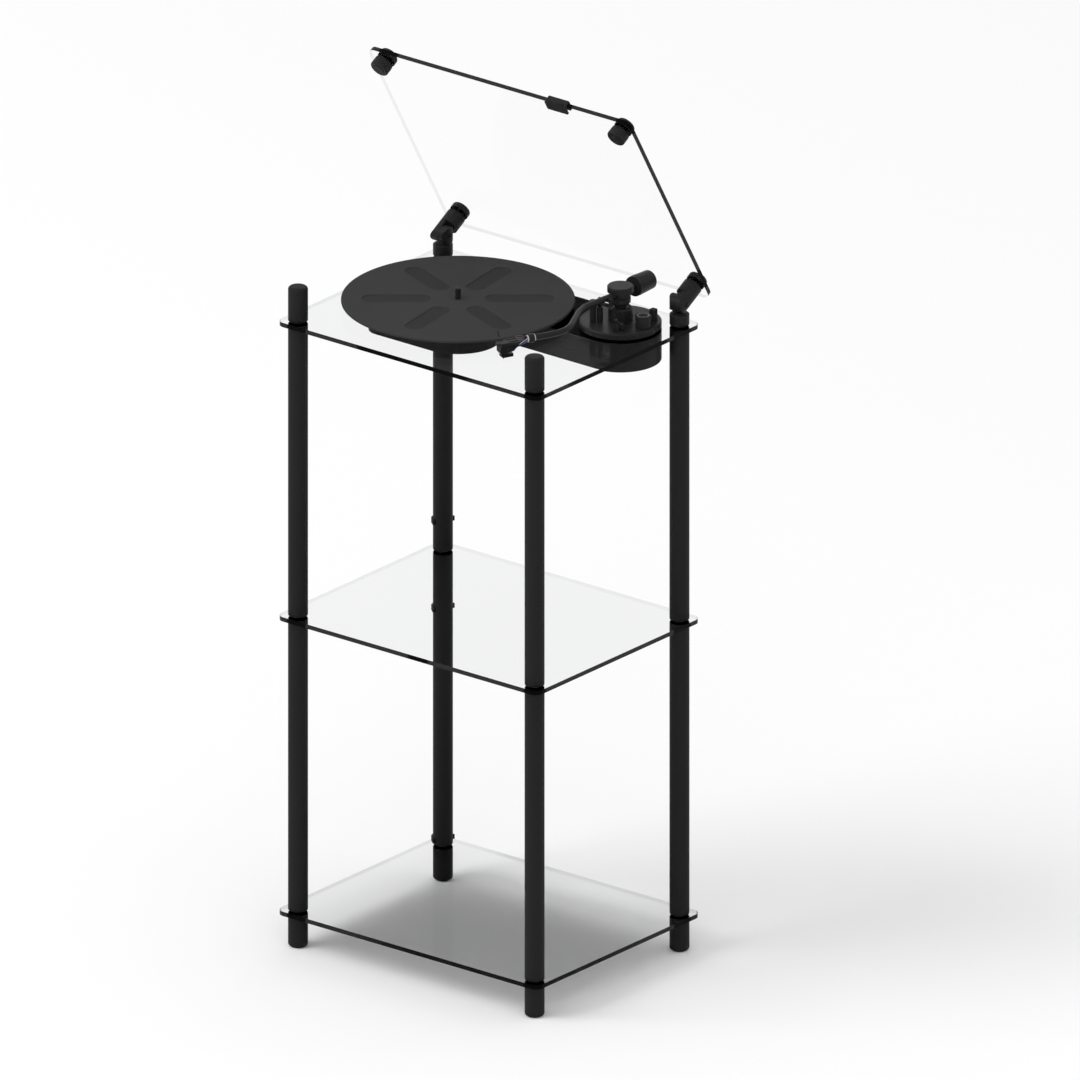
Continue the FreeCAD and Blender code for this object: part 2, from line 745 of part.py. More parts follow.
def make_motor():
    """Make the coil plate under the nut, and the magnet rotor on the shaft below it."""
    plate_z = top_glass_z - plinth_wall - nut_t - stator_t
    plate = ring(stator_d / 2, sleeve_d / 2 + slip_gap, stator_t, spindle_x, spindle_y, plate_z)
    coil = ring(coil_d / 2, coil_hole_d / 2, coil_t, spindle_x + coil_pcd / 2, spindle_y, plate_z - coil_t)
    keep("motor_coils", joined([plate] + around(coil, coil_count, spindle_x, spindle_y)))
    magnet_top = plate_z - coil_t - air_gap
    magnet = ring(magnet_out_d / 2, magnet_in_d / 2, magnet_t, spindle_x, spindle_y, magnet_top - magnet_t)
    keep("rotor_magnet", magnet)
    rotor_z = magnet_top - magnet_t - rotor_t
    disc = rod(magnet_out_d / 2, rotor_t, spindle_x, spindle_y, rotor_z)
    hub = rod(rotor_hub_d / 2, magnet_top - rotor_z - air_gap, spindle_x, spindle_y, rotor_z)
    rotor = joined([disc, hub])
    keep("motor_rotor", rotor.cut(rod(shaft_d / 2, plinth_h, spindle_x, spindle_y, rotor_z - cut_over)))


def make_platter():
    """Make the shaft with its record pin, the platter and the slotted mat."""
    foot_z = plinth_bottom_z + cover_t + thrust_t - thrust_recess + moving_gap
    mat_top_z = mat_z + mat_t
    shoulder_z = mat_top_z - moving_gap
    shaft = rod(shaft_d / 2, shoulder_z - foot_z, spindle_x, spindle_y, foot_z)
    pin = rod(pin_d / 2, mat_top_z + pin_h - shoulder_z, spindle_x, spindle_y, shoulder_z)
    pin = pin.makeFillet(pin_round, edges_at(pin, mat_top_z + pin_h))
    keep("spindle_shaft", joined([shaft, pin]))
    platter = rod(platter_d / 2, platter_t, spindle_x, spindle_y, platter_z)
    platter = platter.makeChamfer(small_chamfer, edges_at(platter, platter_z))
    keep("platter", platter.cut(rod(shaft_d / 2, platter_t, spindle_x, spindle_y, platter_z)))
    mat = rod(mat_d / 2, mat_t, spindle_x, spindle_y, mat_z)
    mat = mat.makeChamfer(mat_chamfer, edges_at(mat, mat_top_z))
    mat = mat.cut(rod(shaft_d / 2 + slip_gap, mat_t, spindle_x, spindle_y, mat_z))
    slot_r = mat_slot_w / 2
    near = spindle_x + mat_slot_in + slot_r
    far = spindle_x + mat_slot_out - slot_r
    slot_z = mat_top_z - mat_slot_depth
    side = Vector(near, spindle_y - slot_r, slot_z)
    slot = joined([
        rod(slot_r, mat_slot_depth + cut_over, near, spindle_y, slot_z),
        rod(slot_r, mat_slot_depth + cut_over, far, spindle_y, slot_z),
        Part.makeBox(far - near, mat_slot_w, mat_slot_depth + cut_over, side),
    ])
    slot.rotate(Vector(spindle_x, spindle_y, 0), UP, mat_slot_turn_deg)
    for cutter in around(slot, mat_slot_count, spindle_x, spindle_y):
        mat = mat.cut(cutter)
    keep("platter_mat", mat)


def make_control_board():
    """Make the drive board on its posts, standing on the bottom cover at the left end."""
    x = -plinth_left + plinth_wall + plinth_corner_r / 2 + board_w / 2
    y = arm_y - plinth_arm_r + board_len / 2
    base = plinth_bottom_z + cover_t
    board = block(board_w, board_len, board_t, x, y, base + board_post_h)
    pieces = [board]
    for sx in (-1, 1):
        for sy in (-1, 1):
            px = x + sx * (board_w / 2 - board_post_inset)
            py = y + sy * (board_len / 2 - board_post_inset)
            pieces.append(rod(board_post_d / 2, board_post_h, px, py, base))
    for row in (-1, 0, 1):
        chip_y = y + row * chip_pitch
        pieces.append(block(chip_w, chip_w, chip_t, x, chip_y, base + board_post_h + board_t))
    keep("control_board", joined(pieces))


# Tonearm stand
def make_tonearm_stand():
    """Make the round base on the glass, the pillar that passes through it, and its nut below."""
    base = rod(plinth_arm_r, disc_t, arm_x, arm_y, deck_z)
    base = base.makeChamfer(disc_chamfer, edges_at(base, disc_top_z))
    base = base.cut(rod(shank_d / 2 + slip_gap, disc_t, arm_x, arm_y, deck_z))
    seats = (
        (skate_x, skate_y, skate_post_d, disc_t / 2),
        (button_x, button_y, button_d, button_depth),
    )
    for dx, dy, seat_d, depth in seats:
        base = base.cut(rod(seat_d / 2 + slip_gap, depth, arm_x + dx, arm_y + dy, disc_top_z - depth))
    keep("tonearm_base", base)
    shank_z = top_glass_z - shank_below
    shank = rod(shank_d / 2, disc_top_z - shank_z, arm_x, arm_y, shank_z)
    drum = rod(pillar_d / 2, pillar_h, arm_x, arm_y, disc_top_z)
    drum = drum.makeChamfer(pillar_chamfer, edges_at(drum, disc_top_z + pillar_h))
    pillar = joined([shank, drum])
    pillar = pillar.cut(rod(shaft_d / 2 + slip_gap, pillar_h + disc_t + glass_t, arm_x, arm_y, top_glass_z))
    keep("tonearm_pillar", pillar)


def make_arm_rest():
    """Make the post with the hook that the parked arm lies beside, open towards the platter."""
    tube_r = tube_d / 2
    x, y = arm_x + rest_x, arm_y + rest_y
    floor_z = arm_z - tube_r - rest_floor_gap
    beam_z = floor_z - rest_wall_t
    side_y = y - rest_hook_w / 2
    post = rod(rest_post_d / 2, beam_z - disc_top_z, x, y, disc_top_z)
    beam_end = arm_x + tube_r + rest_wall_gap + rest_wall_t
    beam = Part.makeBox(beam_end - x, rest_hook_w, rest_wall_t, Vector(x, side_y, beam_z))
    saddle = rod(rest_post_d / 2, rest_wall_t, x, y, beam_z)
    wall_h = rest_floor_gap + tube_r + rest_wall_rise
    wall_start = Vector(beam_end - rest_wall_t, side_y, floor_z)
    wall = Part.makeBox(rest_wall_t, rest_hook_w, wall_h, wall_start)
    keep("arm_rest", joined([post, saddle, beam, wall]))


def make_controls():
    """Make the anti-skate knob, the small housing behind it, and the start button."""
    x, y = arm_x + skate_x, arm_y + skate_y
    knob_z = disc_top_z + moving_gap
    knob = rod(skate_d / 2, skate_h, x, y, knob_z)
    knob = knob.makeChamfer(small_chamfer, edges_at(knob, knob_z + skate_h))
    post = rod(skate_post_d / 2, disc_t / 2, x, y, disc_top_z - disc_t / 2 + moving_gap)
    groove_z = knob_z + skate_h - skate_ring_t
    groove = ring(skate_ring_d / 2, skate_ring_d / 2 - skate_ring_w, skate_ring_t, x, y, groove_z)
    keep("skate_knob", joined([knob, post]).cut(groove))
    bx, by = arm_x + block_x, arm_y + block_y
    housing = rounded_plate(block_w, block_w, block_h, block_round, bx, by, disc_top_z)
    keep("skate_block", housing)
    button_z = disc_top_z - button_depth + button_travel + moving_gap
    top_z = disc_top_z + button_proud
    button = rod(button_d / 2, top_z - button_z, arm_x + button_x, arm_y + button_y, button_z)
    keep("start_button", button.makeChamfer(small_chamfer, edges_at(button, top_z)))


def make_cueing():
    """Make the lift post with its rod and bar, and the cue lever on its bearing block."""
    x, y = arm_x + lift_post_x, arm_y + lift_post_y
    post = rod(lift_post_d / 2, lift_post_h, x, y, disc_top_z)
    bore_z = disc_top_z + lift_post_h - lift_bore_depth
    keep("lift_post", post.cut(rod(lift_rod_d / 2 + slip_gap, lift_bore_depth, x, y, bore_z)))
    bar_top = arm_z - tube_d / 2 - moving_gap
    bar_z = bar_top - lift_bar_t
    stem_z = bore_z + lift_travel + moving_gap
    stem = rod(lift_rod_d / 2, bar_z - stem_z, x, y, stem_z)
    bar_start = Vector(x - lift_bar_w / 2, y - lift_bar_w / 2, bar_z)
    bar = Part.makeBox(lift_bar_len, lift_bar_w, lift_bar_t, bar_start)
    bar = bar.makeFillet(lift_bar_w / 2 - slip_gap, upright_edges(bar))
    keep("lift_bar", joined([stem, bar]))
    cx, cy = arm_x + cue_x, arm_y + cue_y
    bearing = block(cue_w, cue_len, cue_h, cx, cy, disc_top_z)
    ridge = [e for e in edges_at(bearing, disc_top_z + cue_h) if e.BoundBox.YLength > e.BoundBox.XLength]
    bearing = bearing.makeFillet(cue_ridge_round, ridge)
    axle_z = disc_top_z + cue_axle_h
    bore = Part.makeCylinder(cue_shaft_d / 2 + slip_gap, cue_w * 2, Vector(cx - cue_w, cy, axle_z), RIGHT)
    keep("cue_bearing", bearing.cut(bore))
    arm_start = cx + cue_w / 2 + moving_gap
    shaft_start = Vector(cx - cue_w / 2, cy, axle_z)
    shaft = Part.makeCylinder(cue_shaft_d / 2, cue_w + moving_gap, shaft_start, RIGHT)
    hub = Part.makeCylinder(cue_hub_d / 2, cue_hub_len, Vector(arm_start, cy, axle_z), RIGHT)
    stick_x = arm_start + cue_hub_len / 2
    slope = math.radians(cue_rise_deg)
    along = Vector(0, -math.cos(slope), math.sin(slope))
    stick = Part.makeCylinder(cue_stick_d / 2, cue_stick_len, Vector(stick_x, cy, axle_z), along)
    tip = Part.makeSphere(cue_tip_d / 2, Vector(stick_x, cy, axle_z) + along * cue_stick_len)
    keep("cue_lever", joined([shaft, hub, stick, tip]))


# Tonearm: the yoke swings on the pillar, and the cap tips on the yoke with the tube and weight
def make_yoke():
    """Make the swivel yoke on its shaft."""
    bottom = glass_mid_z + yoke_bottom
    top = glass_mid_z + yoke_top
    base = rod(yoke_d / 2, top - bottom, arm_x, arm_y, bottom)
    base = base.makeChamfer(small_chamfer, edges_at(base, top))
    base = base.makeChamfer(yoke_foot_chamfer, edges_at(base, bottom))
    post = rod(yoke_post_d / 2, yoke_post_top - yoke_bottom, arm_x, arm_y, bottom)
    yoke = joined([base, post])
    trench_z = arm_z - tube_d / 2 - yoke_trench_gap
    trench_w = tube_d + yoke_trench_gap * 2
    trench = block(trench_w, yoke_d * 2, yoke_d, arm_x, arm_y, trench_z)
    yoke = yoke.cut(trench.cut(rod(yoke_post_d / 2, yoke_d, arm_x, arm_y, trench_z)))
    bore_start = Vector(arm_x - yoke_d / 2, arm_y, arm_z)
    yoke = yoke.cut(Part.makeCylinder(pivot_pin_d / 2 + slip_gap, yoke_d, bore_start, RIGHT))
    yoke = yoke.cut(rod(shaft_d / 2 + slip_gap, shaft_d / 2, arm_x, arm_y, bottom))
    keep("arm_yoke", yoke)
    shaft_top = bottom + shaft_d / 2
    pillar_top = disc_top_z + pillar_h
    shaft = rod(shaft_d / 2, shaft_top - top_glass_z, arm_x, arm_y, top_glass_z)
    collar_z = pillar_top + moving_gap
    keep("yoke_shaft", joined([shaft, rod(collar_d / 2, bottom - collar_z, arm_x, arm_y, collar_z)]))


def make_pivot_cap():
    """Make the round cap over the pivot, its cross pin, and the stub behind it."""
    bottom = glass_mid_z + cap_bottom
    top = glass_mid_z + cap_top
    head_z = glass_mid_z + cap_head_bottom
    head = rod(pivot_cap_d / 2, top - head_z, arm_x, arm_y, head_z)
    head = head.makeChamfer(pivot_cap_chamfer, edges_at(head, top))
    cap = joined([head, rod(yoke_d / 2, head_z - bottom, arm_x, arm_y, bottom)])
    roof = cap_top - yoke_post_top
    cap = cap.cut(rod(cap_bore_d / 2, top - bottom - roof / 2, arm_x, arm_y, bottom))
    edge = yoke_d / 2
    pin_start = Vector(arm_x - edge, arm_y, arm_z)
    cap = cap.cut(Part.makeCylinder(pivot_pin_d / 2, yoke_d, pin_start, RIGHT))
    front = Vector(arm_x, arm_y - edge + tube_sink, arm_z)
    back = Vector(arm_x, arm_y + edge - tube_sink, arm_z)
    tube_way = Vector(tube_bend_one[0], arm_y + tube_bend_one[1] - front.y, 0).normalize()
    cap = cap.cut(Part.makeCylinder(tube_d / 2 + slip_gap, pivot_cap_d / 2, front, tube_way))
    cap = cap.cut(Part.makeCylinder(stub_d / 2, pivot_cap_d / 2, back, BACK))
    keep("pivot_cap", cap)
    pin_len = yoke_d - pivot_pin_inset * 2
    pin = Part.makeCylinder(pivot_pin_d / 2, pin_len, Vector(arm_x - pin_len / 2, arm_y, arm_z), RIGHT)
    keep("pivot_pin", pin)
    stub_end = weight_start + weight_bore_depth - moving_gap
    stub = Part.makeCylinder(stub_d / 2, stub_end - edge + tube_sink, back, BACK)
    keep("arm_stub", stub)


def bent_path(points, radii, z):
    """Return a wire of straight runs joined by tangent arcs at the inner points."""
    corners_at = [Vector(px, py, z) for px, py in points]
    edges = []
    start = corners_at[0]
    for index, radius in enumerate(radii):
        corner = corners_at[index + 1]
        into = (corner - corners_at[index]).normalize()
        out = (corners_at[index + 2] - corner).normalize()
        turn = into.getAngle(out)
        setback = radius * math.tan(turn / 2)
        first = corner - into * setback
        last = corner + out * setback
        inward = (out - into).normalize()
        middle = corner + inward * (radius / math.cos(turn / 2) - radius)
        edges.append(Part.LineSegment(start, first).toShape())
        edges.append(Part.Arc(first, middle, last).toShape())
        start = last
    edges.append(Part.LineSegment(start, corners_at[-1]).toShape())
    return Part.Wire(edges)


def shell_direction():
    """Return the unit direction of the headshell in plan, in line with the tube's last run."""
    run = Vector(tube_end[0] - tube_bend_two[0], tube_end[1] - tube_bend_two[1], 0)
    return run.normalize()


def make_arm_tube():
    """Make the S-shaped tube from the pivot cap to the headshell collar."""
    start = (arm_x, arm_y - yoke_d / 2 + tube_sink)
    path_points = [start]
    for dx, dy in (tube_bend_one, tube_bend_two, tube_end):
        path_points.append((arm_x + dx, arm_y + dy))
    path = bent_path(path_points, tube_bend_radii, arm_z)
    first = path.Edges[0]
    along = (first.Vertexes[1].Point - first.Vertexes[0].Point).normalize()
    circle = Part.Wire(Part.Circle(Vector(start[0], start[1], arm_z), along, tube_d / 2).toShape())
    tube = path.makePipeShell([circle], True, False)
    keep("arm_tube", tube)


def along_shell(shape):
    """Return a headshell piece, drawn along +X from the origin, put in line after the tube."""
    way = shell_direction()
    placed = shape.copy()
    placed.rotate(CENTRE, UP, math.degrees(math.atan2(way.y, way.x)))
    placed.translate(Vector(arm_x + tube_end[0], arm_y + tube_end[1], arm_z))
    return placed


def make_headshell():
    """Make the locking collar, the headshell plate with its slots, and the finger lift."""
    collar = Part.makeCylinder(lock_d / 2, lock_len, CENTRE, RIGHT)
    for share in lock_groove_shares:
        groove = ring(lock_d, lock_d / 2 - lock_groove, lock_groove, lock_len * share, 0, 0, RIGHT)
        collar = collar.cut(groove)
    half_way = Vector(lock_len / 2, 0, 0)
    collar = collar.cut(Part.makeCylinder(neck_d / 2 + slip_gap, lock_len / 2, half_way, RIGHT))
    keep("locking_collar", along_shell(collar))
    neck_len = lock_len / 2 + moving_gap
    neck = Part.makeCylinder(neck_d / 2, neck_len, Vector(lock_len - neck_len + cut_over, 0, 0), RIGHT)
    root_w = neck_d + cut_over
    start = lock_len + moving_gap
    outline = [
        Vector(start, -root_w / 2, -shell_t / 2),
        Vector(start + cart_set - cut_over, -shell_w / 2, -shell_t / 2),
        Vector(start + shell_len - shell_nose_w / 2, -shell_nose_w / 2, -shell_t / 2),
        Vector(start + shell_len, 0, -shell_t / 2),
        Vector(start + shell_len - shell_nose_w / 2, shell_nose_w / 2, -shell_t / 2),
        Vector(start + cart_set - cut_over, shell_w / 2, -shell_t / 2),
        Vector(start, root_w / 2, -shell_t / 2),
    ]
    edges = [Part.LineSegment(outline[i], outline[i + 1]).toShape() for i in (0, 1)]
    edges.append(Part.Arc(outline[2], outline[3], outline[4]).toShape())
    edges += [Part.LineSegment(outline[i], outline[i + 1]).toShape() for i in (4, 5)]
    edges.append(Part.LineSegment(outline[6], outline[0]).toShape())
    plate = Part.Face(Part.Wire(edges)).extrude(Vector(0, 0, shell_t))
    shell = joined([neck, plate])
    for side in (-1, 1):
        slot_start = start + cart_set + cut_over
        slot_y = side * shell_slot_pitch / 2
        slot_middle = slot_start + shell_slot_len / 2
        slot = joined([
            block(shell_slot_len, shell_slot_w, shell_t * 2, slot_middle, slot_y, -shell_t),
            rod(shell_slot_w / 2, shell_t * 2, slot_start, slot_y, -shell_t),
            rod(shell_slot_w / 2, shell_t * 2, slot_start + shell_slot_len, slot_y, -shell_t),
        ])
        shell = shell.cut(slot)
    keep("headshell", along_shell(shell))
    lift_x = start + shell_len * lift_place_share
    lift_y = -shell_w / 2 + cut_over
    run = [
        Vector(lift_x, lift_y, shell_t / 2 + lift_d / 2),
        Vector(lift_x, lift_y - lift_flat, shell_t / 2 + lift_d / 2),
        Vector(lift_x, lift_y - lift_out, shell_t / 2 + lift_d / 2 + lift_up),
    ]
    pieces = []
    for first, last in zip(run, run[1:]):
        span = last - first
        pieces.append(Part.makeCylinder(lift_d / 2, span.Length, first, span))
    for point in run:
        pieces.append(Part.makeSphere(lift_d / 2, point))
    lift = joined(pieces).cut(block(shell_len, shell_w * 4, shell_t, lift_x, 0, -shell_t / 2))
    keep("finger_lift", along_shell(lift))


def front_edge(box, z):
    """Return the cross edge of a box at its far X end and at the height z."""
    far = box.BoundBox.XMax
    return [e for e in edges_at(box, z) if abs(e.BoundBox.XMin - far) < slip_gap]


def make_cartridge():
    """Make the pick-up body under the headshell, and its stylus holder with the tip."""
    start = lock_len + moving_gap + cart_set
    top = -shell_t / 2
    body = Part.makeBox(cart_len, cart_w, cart_h, Vector(start, -cart_w / 2, top - cart_h))
    body = body.makeChamfer(cart_slope, front_edge(body, top - cart_h))
    notch_start = Vector(start - slip_gap, -cart_w, top - cart_h)
    notch = Part.makeBox(cart_notch_len, cart_w * 2, cart_ear_h, notch_start)
    keep("cartridge", along_shell(body.cut(notch)))
    holder_z = top - cart_h - stylus_h
    holder_x = start + cart_len - stylus_len - cut_over
    holder = Part.makeBox(stylus_len, stylus_w, stylus_h, Vector(holder_x, -stylus_w / 2, holder_z))
    holder = holder.makeChamfer(stylus_slope, front_edge(holder, holder_z))
    tip_place = Vector(holder_x + stylus_len - stylus_h, 0, holder_z - tip_h)
    tip = Part.makeCone(tip_point_r, tip_r, tip_h, tip_place, UP)
    keep("stylus", along_shell(joined([holder, tip])))


def make_counterweight():
    """Make the counterweight with its bore for the stub, and the force ring in front of it.

    The weight tapers to the back, so that it clears the closed lid when the arm is lowered.
    """
    start = Vector(arm_x, arm_y + weight_start, arm_z)
    weight = Part.makeCone(weight_d / 2, weight_end_d / 2, weight_len, start, BACK)
    far_y = start.y + weight_len
    rims = [e for e in weight.Edges if e.BoundBox.YMin > far_y - slip_gap]
    weight = weight.makeChamfer(weight_chamfer, rims)
    bore = Part.makeCylinder(stub_d / 2 + slip_gap, weight_bore_depth, start, BACK)
    keep("counterweight", weight.cut(bore))
    ring_y = start.y - dial_ring_t - moving_gap
    bore_r = stub_d / 2 + slip_gap
    keep("force_ring", ring(dial_ring_d / 2, bore_r, dial_ring_t, arm_x, ring_y, arm_z, BACK))


def write_parts():
    """Move every node so that the origin is the middle of the box, and write one file each."""
    for name, shape in nodes.items():
        shape.translate(Vector(0, -origin_back, 0))
        shape.exportStep("parts/" + name + ".step")


make_feet()
make_posts()
make_joints()
make_shelves()
make_cable_clips()
make_hinges()
make_lid()
make_lid_grip()
make_plinth()
make_sockets()
make_bearing()
make_motor()
make_platter()
make_control_board()
make_tonearm_stand()
make_arm_rest()
make_controls()
make_cueing()
make_yoke()
make_pivot_cap()
make_arm_tube()
make_headshell()
make_cartridge()
make_counterweight()
write_parts()
print("origin lies", round(origin_back, 3), "mm behind the middle of the posts")
for node_name, node in nodes.items():
    print(node_name, len(node.Solids), all(s.isValid() for s in node.Solids), round(node.Volume, 1))
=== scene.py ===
"""Looks of the record player stand: finishes, rounded edges, small trim, studio light and camera.

The frame holds every piece at its real size and place. Most pieces here are smoothed copies of
frame nodes with rounded edges, and the rest are modelled on the same places. Lengths are in metres.
"""

import logging
import math
from dataclasses import dataclass
from enum import Enum
from typing import Callable, List, Optional, Sequence, Tuple

import bmesh
import bpy
from mathutils import Matrix, Vector


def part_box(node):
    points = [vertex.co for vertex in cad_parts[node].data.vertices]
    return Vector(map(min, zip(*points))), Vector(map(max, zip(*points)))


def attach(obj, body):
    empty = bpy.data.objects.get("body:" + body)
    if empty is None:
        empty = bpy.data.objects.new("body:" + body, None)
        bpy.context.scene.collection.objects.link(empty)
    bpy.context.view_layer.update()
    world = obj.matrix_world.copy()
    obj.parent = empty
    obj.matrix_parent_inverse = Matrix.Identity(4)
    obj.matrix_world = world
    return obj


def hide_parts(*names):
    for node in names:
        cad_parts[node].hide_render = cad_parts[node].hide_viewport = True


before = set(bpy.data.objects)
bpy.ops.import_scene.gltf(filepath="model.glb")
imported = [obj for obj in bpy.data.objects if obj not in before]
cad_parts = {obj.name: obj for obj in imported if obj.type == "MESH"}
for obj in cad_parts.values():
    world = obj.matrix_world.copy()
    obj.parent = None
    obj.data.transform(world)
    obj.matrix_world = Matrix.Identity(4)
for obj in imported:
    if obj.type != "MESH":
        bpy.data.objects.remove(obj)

log = logging.getLogger("record_player_stand")
Colour = Tuple[float, float, float]
Place = Tuple[float, float, float]
MM = 0.001

# Directions of the frame
RIGHT = Vector((1.0, 0.0, 0.0))
BACK = Vector((0.0, 1.0, 0.0))
UP = Vector((0.0, 0.0, 1.0))

# The prefix keeps the finishes apart from the frame's own materials
FINISH_PREFIX = "finish_"
GRAIN_DETAIL = 3.0
CLOUD_SCALE = 9.0
CLOUD_DETAIL = 2.0
NOISE_MIDDLE = 0.5
FINE_SHARE = 0.5

# Limits of the mesh work
SHARP_EDGE = math.radians(32.0)
BAND_CORNER = math.radians(60.0)
SAME_PLANE = math.radians(0.4)
SAME_PLACE = 0.5e-6
FLAT_ALONG = 0.99
END_FACE_SHARE = 0.6
WASHER_RIM_SHARE = 0.8

# How finely round forms are divided
ROUND_SEGMENTS = 2
TURNED_STEPS = 64
BUTTON_STEPS = 32
WIRE_ROUND = 3
WIRE_STEPS = 8

# Sizes that several pieces share
WASHER_INSET = 0.1 * MM
BAND_ROUND = 0.12 * MM


class Body(str, Enum):
    """The bodies of the frame that pieces ride on."""

    STAND = "stand"
    LID = "lid"
    TURNTABLE = "turntable"
    SWIVEL = "swivel"
    TONEARM = "tonearm"
    LOCK = "shell_lock"
    WEIGHT = "balance_weight"
    FORCE = "force_dial"
    SKATE = "skate_dial"
    BUTTON = "button"
    CUE = "cue"
    CUE_LIFT = "cue_lift"


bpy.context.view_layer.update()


# Shader graphs
class Graph:
    """A small helper that adds and links shader nodes in one tree."""

    def __init__(self, tree: bpy.types.NodeTree) -> None:
        """Keep the tree to work on."""
        self.tree = tree

    def add(self, kind: str, **settings: object) -> bpy.types.Node:
        """Add a node.

        Args:
            kind: The node's type name, without the leading ShaderNode.
            settings: Attributes to set on the node.

        Returns:
            The new node.
        """
        node = self.tree.nodes.new("ShaderNode" + kind)
        for key, value in settings.items():
            setattr(node, key, value)
        return node

    def link(self, source: bpy.types.NodeSocket, target: bpy.types.NodeSocket) -> None:
        """Link one socket to another."""
        self.tree.links.new(source, target)

    def maths(self, operation: str, first: object, second: object = None) -> bpy.types.NodeSocket:
        """Add a Math node.

        Args:
            operation: The operation's name.
            first: A socket or a number.
            second: Another socket or number, where the operation takes two.

        Returns:
            The node's output.
        """
        node = self.add("Math", operation=operation)
        for index, value in enumerate((first, second)):
            if isinstance(value, bpy.types.NodeSocket):
                self.link(value, node.inputs[index])
            elif value is not None:
                node.inputs[index].default_value = value
        return node.outputs[0]


def grain_group() -> bpy.types.NodeTree:
    """Return the shared group that breaks up a smooth coat.

    Returns:
        A group with inputs Scale, Tone spread, Gloss spread and Base roughness, and with outputs
        Tone, Roughness and Height.
    """
    known = bpy.data.node_groups.get("coat_grain")
    if known:
        return known
    tree = bpy.data.node_groups.new("coat_grain", "ShaderNodeTree")
    for name in ("Scale", "Tone spread", "Gloss spread", "Base roughness"):
        tree.interface.new_socket(name, in_out="INPUT", socket_type="NodeSocketFloat")
    for name in ("Tone", "Roughness", "Height"):
        tree.interface.new_socket(name, in_out="OUTPUT", socket_type="NodeSocketFloat")
    graph = Graph(tree)
    given = tree.nodes.new("NodeGroupInput")
    result = tree.nodes.new("NodeGroupOutput")
    place = graph.add("TexCoord")
    fine = graph.add("TexNoise")
    fine.inputs["Detail"].default_value = GRAIN_DETAIL
    broad = graph.add("TexNoise")
    broad.inputs["Scale"].default_value = CLOUD_SCALE
    broad.inputs["Detail"].default_value = CLOUD_DETAIL
    graph.link(place.outputs["Object"], fine.inputs["Vector"])
    graph.link(place.outputs["Object"], broad.inputs["Vector"])
    graph.link(given.outputs["Scale"], fine.inputs["Scale"])
    broad_swing = graph.maths("SUBTRACT", broad.outputs["Fac"], NOISE_MIDDLE)
    fine_swing = graph.maths("SUBTRACT", fine.outputs["Fac"], NOISE_MIDDLE)
    both = graph.maths("ADD", broad_swing, graph.maths("MULTIPLY", fine_swing, FINE_SHARE))
    tone_swing = graph.maths("MULTIPLY", both, given.outputs["Tone spread"])
    gloss_swing = graph.maths("MULTIPLY", both, given.outputs["Gloss spread"])
    tone = graph.maths("ADD", 1.0, tone_swing)
    rough = graph.maths("ADD", given.outputs["Base roughness"], gloss_swing)
    graph.link(tone, result.inputs["Tone"])
    graph.link(rough, result.inputs["Roughness"])
    graph.link(fine.outputs["Fac"], result.inputs["Height"])
    return tree


@dataclass(frozen=True)
class Finish:
    """A coated, moulded or metal surface with a fine grain.

    The slot names the record's material slot for a new piece in this finish, and is not used.
    """

    name: str
    colour: Colour
    roughness: float = 0.5
    metallic: float = 0.0
    specular: float = 0.5
    grain_scale: float = 900.0
    tone_spread: float = 0.25
    gloss_spread: float = 0.12
    bump: float = 0.02 * MM
    bump_strength: float = 0.6
    slot: str = "black_plastic"

    def material(self) -> bpy.types.Material:
        """Make the finish's material, the first time that it is asked for.

        Returns:
            The material.
        """
        name = FINISH_PREFIX + self.name
        known = bpy.data.materials.get(name)
        if known:
            return known
        made = bpy.data.materials.new(name)
        made.use_nodes = True
        graph = Graph(made.node_tree)
        shader = made.node_tree.nodes["Principled BSDF"]
        shader.inputs["Metallic"].default_value = self.metallic
        shader.inputs["Specular IOR Level"].default_value = self.specular
        grain = graph.add("Group", node_tree=grain_group())
        grain.inputs["Scale"].default_value = self.grain_scale
        grain.inputs["Tone spread"].default_value = self.tone_spread
        grain.inputs["Gloss spread"].default_value = self.gloss_spread
        grain.inputs["Base roughness"].default_value = self.roughness
        tint = graph.add("MixRGB", blend_type="MULTIPLY")
        tint.inputs["Fac"].default_value = 1.0
        tint.inputs["Color1"].default_value = (*self.colour, 1.0)
        graph.link(grain.outputs["Tone"], tint.inputs["Color2"])
        bump = graph.add("Bump")
        bump.inputs["Distance"].default_value = self.bump
        bump.inputs["Strength"].default_value = self.bump_strength
        graph.link(grain.outputs["Height"], bump.inputs["Height"])
        graph.link(tint.outputs["Color"], shader.inputs["Base Color"])
        graph.link(grain.outputs["Roughness"], shader.inputs["Roughness"])
        graph.link(bump.outputs["Normal"], shader.inputs["Normal"])
        return made


